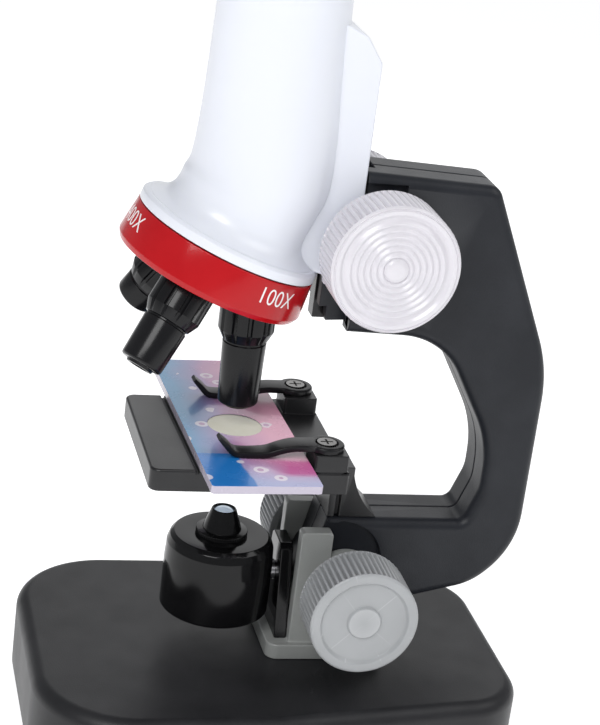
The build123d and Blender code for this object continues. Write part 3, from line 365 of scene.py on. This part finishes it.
# ------------------------------------------------------------------ mesh tools
def placed(x, y, z, z_axis=(0, 0, 1), x_axis=(1, 0, 0)):
    """Local frame at a point given from the datum; its Z runs along z_axis. Local units are millimetres."""
    up = Vector(z_axis).normalized()
    side = Vector(x_axis).normalized()
    turn = Matrix((side, up.cross(side), up)).transposed().to_4x4()
    return Matrix.Translation(AXIS + Vector((x, y, z)) * MM) @ turn @ Matrix.Scale(MM, 4)


def down_turret(along=0.0):
    """Frame whose Z runs down the turret's axis from a point that far below the apex."""
    t = radians(TURRET_TILT)
    return placed(0, -along * sin(t), APEX_Z - along * cos(t), (0, -sin(t), -cos(t)))


def down_objective(turn):
    """Frame whose Z runs down one objective's axis from the apex."""
    t = radians(TURRET_TILT)
    line = Matrix.Rotation(radians(turn), 3, Vector((0, -sin(t), -cos(t)))) @ Vector((0, 0, -1))
    side = line.orthogonal().normalized()
    return placed(0, 0, APEX_Z, line, side)


def rounded(points, radius, steps=4, closed=True):
    """The outline with its corners turned into arcs; a point's third value is its own radius."""
    out = []
    count = len(points)
    for i, point in enumerate(points):
        here = Vector(point[:2])
        r = point[2] if len(point) > 2 else radius
        if r <= 0 or (not closed and i in (0, count - 1)):
            out.append(here)
            continue
        before, after = Vector(points[i - 1][:2]) - here, Vector(points[(i + 1) % count][:2]) - here
        corner = before.angle(after)
        reach = min(r / tan(corner / 2), 0.45 * before.length, 0.45 * after.length)
        r = reach * tan(corner / 2)
        a, b = before.normalized(), after.normalized()
        centre = here + (a + b).normalized() * (r / sin(corner / 2))
        start, end = here + a * reach - centre, here + b * reach - centre
        sweep = start.angle(end)
        turns = 1 if start.cross(end) > 0 else -1
        for k in range(steps + 1):
            out.append(centre + Matrix.Rotation(turns * sweep * k / steps, 2) @ start)
    return [(p.x, p.y) for p in out]


def object_from(name, bm, material, angle=35):
    """Finish a bmesh into a scene object, smooth except over sharp edges."""
    bmesh.ops.remove_doubles(bm, verts=bm.verts, dist=1e-7)
    bmesh.ops.recalc_face_normals(bm, faces=bm.faces)
    mesh = bpy.data.meshes.new(name)
    bm.to_mesh(mesh)
    bm.free()
    mesh.shade_smooth()
    mesh.set_sharp_from_angle(angle=radians(angle))
    mesh.materials.append(material)
    made = bpy.data.objects.new(name, mesh)
    bpy.context.scene.collection.objects.link(made)
    return made


def loft(name, rings, material, loop=False, angle=35):
    """Skin over rings with equal counts of points; loop joins the last ring to the first."""
    bm = bmesh.new()
    rows = [[bm.verts.new(p) for p in ring] for ring in rings]
    pairs = list(zip(rows, rows[1:]))
    if loop:
        pairs.append((rows[-1], rows[0]))
    else:
        bm.faces.new(rows[0])
        bm.faces.new(rows[-1])
    for a, b in pairs:
        for i in range(len(a)):
            j = (i + 1) % len(a)
            bm.faces.new((a[i], a[j], b[j], b[i]))
    return object_from(name, bm, material, angle)


def lathe(name, profile, place, material, steps=144, relief=None, angle=35):
    """Closed profile of (radius, height) turned round the local Z; relief(r, h, turn) changes the radius."""
    rings = []
    for r, h in profile:
        ring = []
        for i in range(steps):
            a = 2 * pi * i / steps
            reach = max(r, 0.0004) + (relief(r, h, a) if relief else 0)
            ring.append(place @ Vector((reach * cos(a), reach * sin(a), h)))
        rings.append(ring)
    return loft(name, rings, material, loop=True, angle=angle)


def show(piece, body, slot, *nodes):
    """The piece rides on a body and stands for the named nodes; the slot argument is not used."""
    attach(piece, body)
    if nodes:
        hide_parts(*nodes)
    return piece


# ------------------------------------------------------------------ head
def tube_ring(y, z, tilt, r, count):
    """Circle leaning forwards by tilt degrees, as points."""
    t = radians(tilt)
    points = []
    for i in range(count):
        a = 2 * pi * i / count
        points.append(AXIS + Vector((r * cos(a), y + r * sin(a) * cos(t), z - r * sin(a) * sin(t))) * MM)
    return points


def on_turret_axis(along):
    t = radians(TURRET_TILT)
    return -along * sin(t), APEX_Z - along * cos(t)


def spline(stations, steps):
    """Points of a smooth curve through the stations (Catmull-Rom)."""
    padded = [stations[0]] + list(stations) + [stations[-1]]
    out = []
    for i in range(len(stations) - 1):
        p0, p1, p2, p3 = (Vector(p) for p in padded[i:i + 4])
        for k in range(steps):
            t = k / steps
            out.append(0.5 * (2 * p1 + (p2 - p0) * t + (2 * p0 - 5 * p1 + 4 * p2 - p3) * t * t
                              + (3 * p1 - p0 - 3 * p2 + p3) * t ** 3))
    out.append(Vector(stations[-1]))
    return out


def head_pieces():
    count = 128
    stations = [(0, TUBE_TOP, 0, 14.9), (0, 102, 0, 15.2), (0, 88, 0, 15.7), (0, 76, 3, 16.3),
                (*on_turret_axis(2.0), 8, 16.7), (*on_turret_axis(7.5), 16, 16.5),
                (*on_turret_axis(11.0), 20, 16.4), (*on_turret_axis(13.6), TURRET_TILT, 16.9),
                (*on_turret_axis(15.4), TURRET_TILT, 18.4), (*on_turret_axis(16.8), TURRET_TILT, 20.9)]
    outer = [tube_ring(*s, count) for s in spline(stations, 6)]
    for ring in outer:
        for point in ring:
            point.y = min(point.y, AXIS.y + WAY_FRONT_Y * MM)
    bore = [tube_ring(*on_turret_axis(18.0), TURRET_TILT, 20.5, count),
            tube_ring(0, 50.5, TURRET_TILT, LIGHT_PATH_R, count),
            tube_ring(0, TUBE_BORE_FLOOR, 0, LIGHT_PATH_R, count),
            tube_ring(0, TUBE_BORE_FLOOR, 0, TUBE_BORE_R, count),
            tube_ring(0, TUBE_TOP, 0, TUBE_BORE_R, count)]
    tube = loft("head_tube", outer + bore, MATERIALS["head_white"], loop=True)
    show(tube, "head", "head_white", "head_body")
    for piece in carriage():
        show(piece, "head", "head_white")

    profile = rounded([(15.8, 15.0, 0), (17.9, 15.6, 0.8), (19.6, 16.7, 1.2), (21.6, 16.95, 0.5),
                       (FLANGE_R, 17.6, 0.4), (FLANGE_R, FLANGE_BOTTOM, 0.3), (21.2, FLANGE_BOTTOM, 0),
                       (15.8, FLANGE_BOTTOM - 0.6, 0)], 0.3)
    flange = lathe("head_flange", profile, down_turret(), MATERIALS["head_white"], 192)
    show(flange, "head", "head_white")

    trim_top = TUBE_TOP + 3.2
    profile = rounded([(TUBE_BORE_R, TUBE_TOP), (14.6, TUBE_TOP), (14.6, trim_top, 0.9),
                       (TUBE_BORE_R, trim_top)], 0.15)
    trim = lathe("tube_trim_ring", profile, placed(0, 0, 0), MATERIALS["trim_black"])
    show(trim, "head", "trim_black", "head_trim_ring")


def carriage():
    """Flat-sided back of the head, open where the arm's dovetail runs."""
    half, way = 8.74, 6.2
    # above the tube's floor the outlines stay in its wall, clear of the eyepiece bore
    cheek = [(4.0, 46.5), (14.9, 43.8), (14.9, 41.6), (21.9, 41.6), (21.9, 94.0), (17.9, 100.0),
             (10.6, 103.2), (10.6, 61.0), (4.0, 61.0)]
    front = [(4.0, 46.5), (14.9, 43.8), (14.9, 101.3), (12.3, 102.4), (12.3, 61.0), (4.0, 61.0)]
    top = [(13.0, 94.0), (21.9, 94.0), (17.9, 100.0), (13.0, 102.1)]
    pieces = []
    for name, outline, x0, x1 in (("cheek_left", cheek, -half, -way), ("cheek_right", cheek, way, half),
                                  ("front", front, -way - 1, way + 1), ("top", top, -way - 1, way + 1)):
        bm = bmesh.new()
        prism(bm, outline, x0, x1)
        piece = object_from("carriage_" + name, bm, MATERIALS["head_white"])
        rounding = piece.modifiers.new("rounding", "BEVEL")
        rounding.width = 0.4 * MM
        rounding.segments = 3
        pieces.append(piece)
    return pieces


def prism(bm, outline, x0, x1):
    """Outline in (Y, Z) between two X, added to a bmesh."""
    near = [bm.verts.new(AXIS + Vector((x1, y, z)) * MM) for y, z in outline]
    far = [bm.verts.new(AXIS + Vector((x0, y, z)) * MM) for y, z in outline]
    bm.faces.new(near)
    bm.faces.new(far[::-1])
    for i in range(len(outline)):
        j = (i + 1) % len(outline)
        bm.faces.new((near[i], far[i], far[j], near[j]))


# ------------------------------------------------------------------ turret
def turret_pieces():
    profile = rounded([(21.0, BAND_TOP), (BAND_TOP_R, BAND_TOP, 0.25), (BAND_CREASE_R, BAND_CREASE, 0.5),
                       (BAND_LIP_R, BAND_LIP, 0.3), (21.2, BAND_LIP), (21.2, BAND_CREASE - 1)], 0.15)
    band = lathe("turret_band", profile, down_turret(), MATERIALS["turret_red"], 240)
    show(band, "turret", "turret_red", "turret_ring")
    for text, turn in NUMBERS:
        show(number(text, turn), "turret", "turret_red")

    arc = []
    low, high = acos(4.2 / DOME_R), acos(DOME_RIM_R / DOME_R)
    for k in range(25):
        a = high + (low - high) * k / 24
        arc.append((DOME_R * cos(a), DOME_R * sin(a)))
    profile = [(PIVOT_BORE_R, 20.95), (DOME_RIM_R, 20.95)] + arc
    profile += [(PIVOT_POCKET_R, 31.8), (PIVOT_POCKET_R, PIVOT_POCKET_FLOOR),
                (PIVOT_BORE_R, PIVOT_POCKET_FLOOR)]
    dome = lathe("turret_dome", profile, down_turret(), MATERIALS["turret_black"], 144, angle=30)
    show(dome, "turret", "turret_black", "turret_plate")
    for objective in OBJECTIVES:
        objective_pieces(*objective)


def number(text, turn, height=4.1, squeeze=0.92, lift=0.03):
    """Magnification number, wrapped on the band's cone at a turn from the turret's front."""
    curve = bpy.data.curves.new("number", "FONT")
    curve.body = text
    curve.size = height * 1.35
    curve.align_x = "CENTER"
    curve.align_y = "CENTER"
    curve.extrude = 0.05
    curve.offset = -0.06
    curve.resolution_u = 6
    source = bpy.data.objects.new("number", curve)
    bpy.context.scene.collection.objects.link(source)
    mesh = bpy.data.meshes.new_from_object(source.evaluated_get(bpy.context.evaluated_depsgraph_get()))
    bpy.data.objects.remove(source)
    bm = bmesh.new()
    bm.from_mesh(mesh)
    bmesh.ops.triangulate(bm, faces=bm.faces)
    for _ in range(2):
        long_edges = [e for e in bm.edges if e.calc_length() > 0.5]
        bmesh.ops.subdivide_edges(bm, edges=long_edges, cuts=1)
        bmesh.ops.triangulate(bm, faces=bm.faces)
    middle = (BAND_TOP + BAND_CREASE) / 2 - 0.5
    slope = (BAND_CREASE_R - BAND_TOP_R) / (BAND_CREASE - BAND_TOP)
    place = down_turret()
    for v in bm.verts:
        along = middle - v.co.y
        r = BAND_TOP_R + (along - BAND_TOP) * slope + lift + v.co.z
        a = radians(turn) + v.co.x * squeeze / r
        v.co = place @ Vector((r * sin(a), r * cos(a), along))
    return object_from("number_" + text, bm, NUMBER_WHITE)


def objective_pieces(name, turn, tip, r0, r1):
    place = down_objective(turn)
    black = MATERIALS["objective_black"]
    ribs, depth = 11, 0.6

    def rib(r, h, a):
        if r < COLLAR_R - 0.6 or h < DOME_R - 0.2 or h > 40.7:
            return 0
        phase = (a * ribs / (2 * pi)) % 1.0
        edge = min(phase, 1 - phase)
        return -depth * max(0.0, 1 - max(0.0, (edge - 0.10) / 0.06))

    profile = rounded([(3.4, 29.0), (4.5, 29.0), (4.5, DOME_R - 0.6), (COLLAR_R, DOME_R - 0.6, 0.5),
                       (COLLAR_R, 40.4, 0.5), (r0 + 0.15, COLLAR_END, 0.25), (3.4, COLLAR_END)], 0.1)
    collar = lathe("%s_collar" % name, profile, place, black, 11 * 24, relief=rib, angle=50)
    show(collar, "turret", "objective_black", "objective_%s_collar" % name)

    profile = rounded([(3.4, COLLAR_END + 0.02), (r0 - 0.25, COLLAR_END + 0.02),
                       (r0 - 0.25, COLLAR_END + 0.5, 0.1), (r0, COLLAR_END + 0.7, 0.15),
                       (r1, tip - 0.1, 0.75), (3.4, tip, 0.1), (3.2, tip + 0.65, 0.2),
                       (2.2, tip + 0.65, 0.15), (1.95, tip - 0.6, 0),
                       (1.95, tip - 4, 0), (3.4, tip - 5, 0)], 0.1)
    barrel = lathe("%s_barrel" % name, profile, place, black, 96)
    show(barrel, "turret", "objective_black", "objective_%s_barrel" % name)

    bulge = [(0, tip - 0.5), (1.94, tip - 0.5), (1.94, tip - 0.1), (1.4, tip + 0.12), (0.7, tip + 0.22),
             (0, tip + 0.25)]
    lens = lathe("%s_lens" % name, bulge, place, MATERIALS["lens_glass"], 48)
    show(lens, "turret", "lens_glass", "objective_%s_lens" % name)


# ------------------------------------------------------------------ knobs
def serration(teeth, depth, low, high, radius):
    """Relief of a knurled edge between two heights: broad lands and narrow grooves."""
    def relief(r, h, a):
        if r < radius - 0.9 or not low < h < high:
            return 0
        phase = (a * teeth / (2 * pi)) % 1.0
        return -depth * (0.5 - 0.5 * cos(2 * pi * phase)) ** 1.6
    return relief


def focus_knobs():
    depth = FOCUS_OUT - FOCUS_IN
    hub = 8.84 - FOCUS_IN
    face = [(0, depth + 0.45), (1.5, depth + 0.4), (2.5, depth + 0.22), (2.75, depth - 0.1)]
    first, pitch, ridges, steps = 3.5, 1.5, 6, 8
    for i in range(ridges * steps + 1):
        r = first - pitch / 2 + pitch * i / steps + 0.25 * (i == 0)
        ridge = 0.52 * (0.5 - 0.5 * cos(2 * pi * i / steps))
        dome = 0.1 * (1 - i / (ridges * steps))
        face.append((r, depth - 0.52 + ridge + dome))
    face += rounded([(12.0, depth - 0.75, 0.4), (12.5, depth - 0.75, 0.4), (13.2, depth - 0.12, 0.4),
                     (14.05, depth - 0.05, 0.15), (14.2, depth - 0.4, 0.1), (14.45, depth - 0.4, 0.1),
                     (14.6, depth - 0.1, 0.15), (FOCUS_R, depth - 0.9, 0.5), (FOCUS_R, 0.0, 0.6),
                     (7.0, 0.0, 0.3), (6.0, -0.4, 0.3), (6.0, hub, 0.2), (0, hub, 0)], 0.2, closed=False)
    relief = serration(KNOB_TEETH, 0.75, 0.4, depth - 0.8, FOCUS_R)
    for side, name in ((1, "right"), (-1, "left")):
        place = placed(side * FOCUS_IN, FOCUS_Y, FOCUS_Z, (side, 0, 0), (0, 1, 0))
        knob = lathe("focus_knob_%s_skin" % name, face, place, MATERIALS["knob_white"],
                     KNOB_TEETH * STEPS_PER_TOOTH, relief=relief, angle=50)
        show(knob, "focus", "knob_white", "focus_knob_" + name)


def tilt_knobs():
    depth = TILT_OUT - TILT_IN
    web, hub = depth - TILT_WEB, 10.9 - TILT_IN
    bore_r, bore_end = 2.6, 4.3
    profile = rounded([(0, depth - 0.2), (3.9, depth - 0.2, 0.3), (4.2, depth - 1.0, 0.2),
                       (10.2, depth - 1.0, 0.5), (10.8, depth, 0.4), (TILT_R, depth, 0.8), (TILT_R, 0, 0.5),
                       (11.2, 0, 0.4), (11.0, web, 0.5), (6.2, web, 0.5), (6.0, hub, 0.2), (bore_r, hub, 0),
                       (bore_r, bore_end, 0), (0, bore_end, 0)], 0.2, closed=False)
    relief = serration(KNOB_TEETH, 0.7, 0.3, depth - 0.5, TILT_R)
    for side, name in ((1, "right"), (-1, "left")):
        place = placed(side * TILT_IN, TILT_Y, TILT_Z, (side, 0, 0), (0, 1, 0))
        knob = lathe("tilt_knob_%s_skin" % name, profile, place, MATERIALS["knob_grey"],
                     KNOB_TEETH * STEPS_PER_TOOTH, relief=relief, angle=50)
        show(knob, name + "_tilt_knob", "knob_grey", "tilt_knob_" + name)


# ------------------------------------------------------------------ lamp
def lamp_pieces():
    place = placed(0, 0, 0)
    black = MATERIALS["lamp_black"]
    collar_r, collar_teeth = 6.35, 64
    profile = rounded([(4.95, LAMP_TOP, 0.1), (11.6, LAMP_TOP, 0.35), (12.5, LAMP_TOP - 0.9, 0.7),
                       (13.15, LAMP_TOP - 2.6, 1.2), (LAMP_R, LAMP_TOP - 7, 0.8),
                       (LAMP_R, LAMP_BOTTOM + 0.6, 0.5),
                       (LAMP_R - 0.8, LAMP_BOTTOM, 0.3), (11.6, LAMP_BOTTOM, 0.1), (11.6, LAMP_TOP - 2.0),
                       (4.95, LAMP_TOP - 2.0)], 0.1, steps=6)
    show(lathe("lamp_body", profile, place, black, 160), "lamp", "lamp_black", "lamp_housing")

    profile = rounded([(2.45, -20.6, 0.1), (2.65, -20.0, 0.12), (3.0, -20.1, 0.25), (4.75, -25.0, 0.15),
                       (4.75, -25.3, 0.05), (collar_r, -25.45, 0.25), (collar_r, LAMP_TOP + 0.02, 0.05),
                       (4.9, LAMP_TOP, 0.05), (4.8, LAMP_TOP - 3.2, 0.1), (3.6, LAMP_TOP - 3.2, 0.1),
                       (3.6, -26.0, 0.1), (2.45, -22.0)], 0.1)
    relief = serration(collar_teeth, 0.28, LAMP_TOP + 0.1, -25.5, collar_r)
    cone = lathe("lamp_cone_skin", profile, place, black, collar_teeth * 6, relief=relief)
    show(cone, "lamp", "lamp_black", "lamp_cone")

    dome = [(2.42 * cos(radians(7.5 * k)), -21.0 + 1.25 * sin(radians(7.5 * k))) for k in range(13)]
    profile = [(0, -24.0), (2.42, -24.0)] + dome
    show(lathe("led_lens", profile, place, MATERIALS["led_clear"], 64), "lamp", "led_clear", "led")

    low = LAMP_BOTTOM
    bezel = rounded([(11.58, low + 2.6), (11.58, low + 0.2, 0.3), (9.9, low + 0.2, 0.5), (9.9, low + 1.2),
                     (10.7, low + 1.2), (10.7, low + 2.6)], 0.1)
    show(lathe("mirror_rim", bezel, place, black, 96), "lamp", "lamp_black", "mirror_bezel")


# ------------------------------------------------------------------ eyepiece
def eyepiece_pieces():
    place = placed(0, 0, 0)
    groove_r, rim = EYE_TUBE_R - 0.3, EYE_SHOULDER
    profile = rounded([(EYE_BORE_R, EYE_BOTTOM), (EYE_SLEEVE_R, EYE_BOTTOM, 0.3), (EYE_SLEEVE_R, rim),
                       (EYE_TUBE_R, rim, 0.3), (EYE_TUBE_R, rim + 4, 0.3), (groove_r, rim + 4.4, 0.2),
                       (groove_r, rim + 5.2, 0.2), (EYE_TUBE_R, rim + 5.6, 0.3), (EYE_TUBE_R, EYE_TOP, 0.2),
                       (EYE_BORE_R, EYE_TOP)], 0.1)
    barrel = lathe("eyepiece_tube", profile, place, MATERIALS["eyepiece_black"], 128)
    show(barrel, "eyepiece", "eyepiece_black", "eyepiece_barrel")
    profile = rounded([(8.4, 141.05), (13.6, 141.05, 0.3), (13.9, 143.0, 1.0), (13.4, 148.2, 0.8),
                       (12.6, 149.0, 0.4), (11.6, 148.5, 0.5), (11.0, 144.5, 0.6), (8.4, 143.2, 0.3)], 0.2)
    cup = lathe("eyecup_skin", profile, place, MATERIALS["eyecup_rubber"], 128)
    show(cup, "eyepiece", "eyecup_rubber", "eyecup")
    lens_r, lens_edge, bulge = 9.58, 139.2, 1.3
    profile = [(0, 137.5), (lens_r, 137.5), (lens_r, lens_edge)]
    for k in range(1, 11):
        a = radians(9 * k)
        profile.append((lens_r * cos(a), lens_edge + bulge * sin(a)))
    lens = lathe("eye_lens_skin", profile, place, MATERIALS["lens_glass"], 96)
    show(lens, "eyepiece", "lens_glass", "eye_lens")


# ------------------------------------------------------------------ stage clips
def clip_pieces():
    """Moulded clips: an eye round the screw, and a blade that sweeps down to the card and up at its tip."""
    run = [(0.0, 5.1), (-3.5, 5.1), (-7.8, 5.05), (-11.0, 4.3), (-14.0, 3.25), (-17.3, 2.92), (-21.0, 2.95),
           (-22.6, 3.5), (-24.0, 4.9), (-25.8, 6.6)]
    wide = [3.0, 2.9, 2.75, 2.6, 2.45, 2.3, 2.2, 2.1, 2.0, 1.7]
    thick = [1.5, 1.5, 1.5, 1.5, 1.5, 1.5, 1.45, 1.4, 1.3, 0.9]
    stations = [(y, z, w, t) for (y, z), w, t in zip(run, wide, thick)]
    path = spline(stations, 5)
    clip_low, clip_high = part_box("clip_right")
    eye_x = (clip_low.x + clip_high.x) / 2 / MM
    eye_y = (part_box("clip_screw_right")[0].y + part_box("clip_screw_right")[1].y) / 2 / MM - AXIS.y / MM
    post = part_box("stage_plate")[1].z / MM - AXIS.z / MM
    for side, name in ((1, "right"), (-1, "left")):
        rings = []
        for k, (y, z, w, t) in enumerate(path):
            ahead, behind = path[min(k + 1, len(path) - 1)], path[max(k - 1, 0)]
            run_dir = Vector((0, ahead[0] - behind[0], ahead[1] - behind[1])).normalized()
            across = Vector((1, 0, 0))
            up = across.cross(run_dir)
            up = up if up.z > 0 else -up
            outline = rounded([(-w, -t / 2), (w, -t / 2), (w, t / 2), (-w, t / 2)], 0.35, 3)
            centre = Vector((side * eye_x, eye_y + y, z))
            rings.append([AXIS + (centre + across * p + up * q) * MM for p, q in outline])
        blade = loft("blade", rings, MATERIALS["clip_black"])
        profile = rounded([(SCREW_BORE_R, post + 0.1), (4.3, post + 0.1, 0.3), (4.3, post + 1.65, 0.5),
                           (2.95, post + 1.65, 0.2), (SEAT_R, post + 1.4, 0.1), (SEAT_R, post + SEAT_LIFT),
                           (SCREW_BORE_R, post + SEAT_LIFT)], 0.1)
        eye = lathe("eye", profile, placed(side * eye_x, eye_y, 0), MATERIALS["clip_black"])
        whole = welded("clip_%s_skin" % name, blade, eye, (side * eye_x, eye_y, post))
        show(whole, name + "_clip", "clip_black", "clip_" + name)


def welded(name, blade, eye, pocket):
    """Blade and eye as one mesh, with the screw pocket kept open."""
    x, y, post = pocket
    seat, above, below = post + SEAT_LIFT, post + 6, post - 3
    cutter = lathe("cutter", [(0, seat), (SEAT_R, seat), (SEAT_R, above), (0, above)],
                   placed(x, y, 0), MATERIALS["clip_black"], 64)
    bore = lathe("bore", [(0, below), (SCREW_BORE_R, below), (SCREW_BORE_R, above), (0, above)],
                 placed(x, y, 0), MATERIALS["clip_black"], 48)
    for other, kind in ((cutter, "DIFFERENCE"), (bore, "DIFFERENCE"), (eye, "UNION")):
        step = blade.modifiers.new(kind, "BOOLEAN")
        step.operation = kind
        step.solver = "EXACT"
        step.object = other
    mesh = bpy.data.meshes.new_from_object(blade.evaluated_get(bpy.context.evaluated_depsgraph_get()))
    for piece in (blade, eye, cutter, bore):
        bpy.data.objects.remove(piece)
    mesh.name = name
    mesh.shade_smooth()
    mesh.set_sharp_from_angle(angle=radians(40))
    made = bpy.data.objects.new(name, mesh)
    bpy.context.scene.collection.objects.link(made)
    return made


# ------------------------------------------------------------------ nodes carried over from CAD
# width of the softened edge on each moulded node
BEVELS = {
    "arm_shell_left": 0.25, "arm_shell_right": 0.25, "stage_plate": 0.25, "stage_bracket": 0.25,
    "tilt_fork": 0.35, "lamp_bracket": 0.3, "base_cover": 0.2, "battery_door": 0.2,
    "slide_card": 0.12, "switch_slider": 0.2, "focus_rack": 0.08, "base_shell": 0.25,
}


def dress_nodes():
    """Every CAD node gets its slot's material; moulded ones also get softened edges."""
    for name, cad in frame["nodes"].items():
        cad.data.materials.clear()
        cad.data.materials.append(MATERIALS[SLOTS[name]])
        if name in BEVELS and not cad.hide_render:
            soften(cad, BEVELS[name] * MM)


def soften(cad, width):
    """Moulded edges on a CAD node: merge its facets, round its corners, and shade flats flat."""
    own_normals = cad.data.attributes.get("custom_normal")
    if own_normals:
        cad.data.attributes.remove(own_normals)
    weld = cad.modifiers.new("weld", "WELD")
    weld.merge_threshold = 1e-6
    flat = cad.modifiers.new("flat", "DECIMATE")
    flat.decimate_type = "DISSOLVE"
    flat.angle_limit = radians(0.4)
    bevel = cad.modifiers.new("bevel", "BEVEL")
    bevel.width = width
    bevel.segments = 3
    bevel.limit_method = "ANGLE"
    bevel.angle_limit = radians(32)
    bevel.use_clamp_overlap = False
    weighted = cad.modifiers.new("weighted", "WEIGHTED_NORMAL")
    weighted.keep_sharp = False


# ------------------------------------------------------------------ floor, light and camera
# name, place from the middle of the object, size and power
LIGHTS = (
    ("key", (0.45, -0.28, 0.42), 0.32, 2.4),
    ("fill", (0.20, 0.50, 0.50), 0.40, 1.2),
    ("rim", (-0.62, 0.17, 0.27), 0.50, 0.6),
)


def studio():
    """White floor, even sky light and three soft lamps."""
    mesh = bpy.data.meshes.new("floor")
    size = 4.0
    corners = [(-size, -size, 0), (size, -size, 0), (size, size, 0), (-size, size, 0)]
    mesh.from_pydata(corners, [], [(0, 1, 2, 3)])
    floor = bpy.data.objects.new("floor", mesh)
    bpy.context.scene.collection.objects.link(floor)
    material, tree, shader = nodes_of("floor_white")
    pale = mixed(tree, noise(tree, 3, 3), (0.9, 0.9, 0.9), (0.94, 0.94, 0.94))
    put(tree, shader.inputs["Base Color"], pale)
    shader.inputs["Roughness"].default_value = 0.9
    shader.inputs["Emission Color"].default_value = (1, 1, 1, 1)
    shader.inputs["Emission Strength"].default_value = 0.62
    mesh.materials.append(material)

    world = bpy.data.worlds.new("studio")
    bpy.context.scene.world = world
    world.use_nodes = True
    world.node_tree.nodes["Background"].inputs["Color"].default_value = (0.95, 0.97, 1.0, 1)
    world.node_tree.nodes["Background"].inputs["Strength"].default_value = 0.38

    middle = AXIS + Vector((0, 0, 20)) * MM
    for name, spot, size, power in LIGHTS:
        light = bpy.data.lights.new(name, "AREA")
        light.energy = power
        light.size = size
        lamp = bpy.data.objects.new(name, light)
        lamp.location = middle + Vector(spot)
        lamp.rotation_euler = (middle - lamp.location).to_track_quat("-Z", "Y").to_euler()
        bpy.context.scene.collection.objects.link(lamp)
    bpy.context.scene.view_settings.view_transform = "Standard"


def camera():
    """Close view of the turret and stage from the user's right, slightly from above."""
    azimuth, elevation, roll = radians(75.04), radians(20.79), radians(7.49)
    distance, shift_right, shift_up = 494.0, 15.98, 16.82
    lens_mm, sensor_mm = 102.22, 36.0
    back = Vector((sin(azimuth) * cos(elevation), -cos(azimuth) * cos(elevation), sin(elevation)))
    level = Vector((cos(azimuth), sin(azimuth), 0))
    upright = back.cross(level)
    right = cos(roll) * level + sin(roll) * upright
    up = cos(roll) * upright - sin(roll) * level
    data = bpy.data.cameras.new("camera")
    data.sensor_width = sensor_mm
    data.lens = lens_mm
    made = bpy.data.objects.new("camera", data)
    place = AXIS + (back * distance + right * shift_right + up * shift_up) * MM
    made.matrix_world = Matrix.Translation(place) @ Matrix((right, up, back)).transposed().to_4x4()
    bpy.context.scene.collection.objects.link(made)
    bpy.context.scene.camera = made


head_pieces()
turret_pieces()
focus_knobs()
tilt_knobs()
lamp_pieces()
eyepiece_pieces()
clip_pieces()
dress_nodes()
studio()
camera()
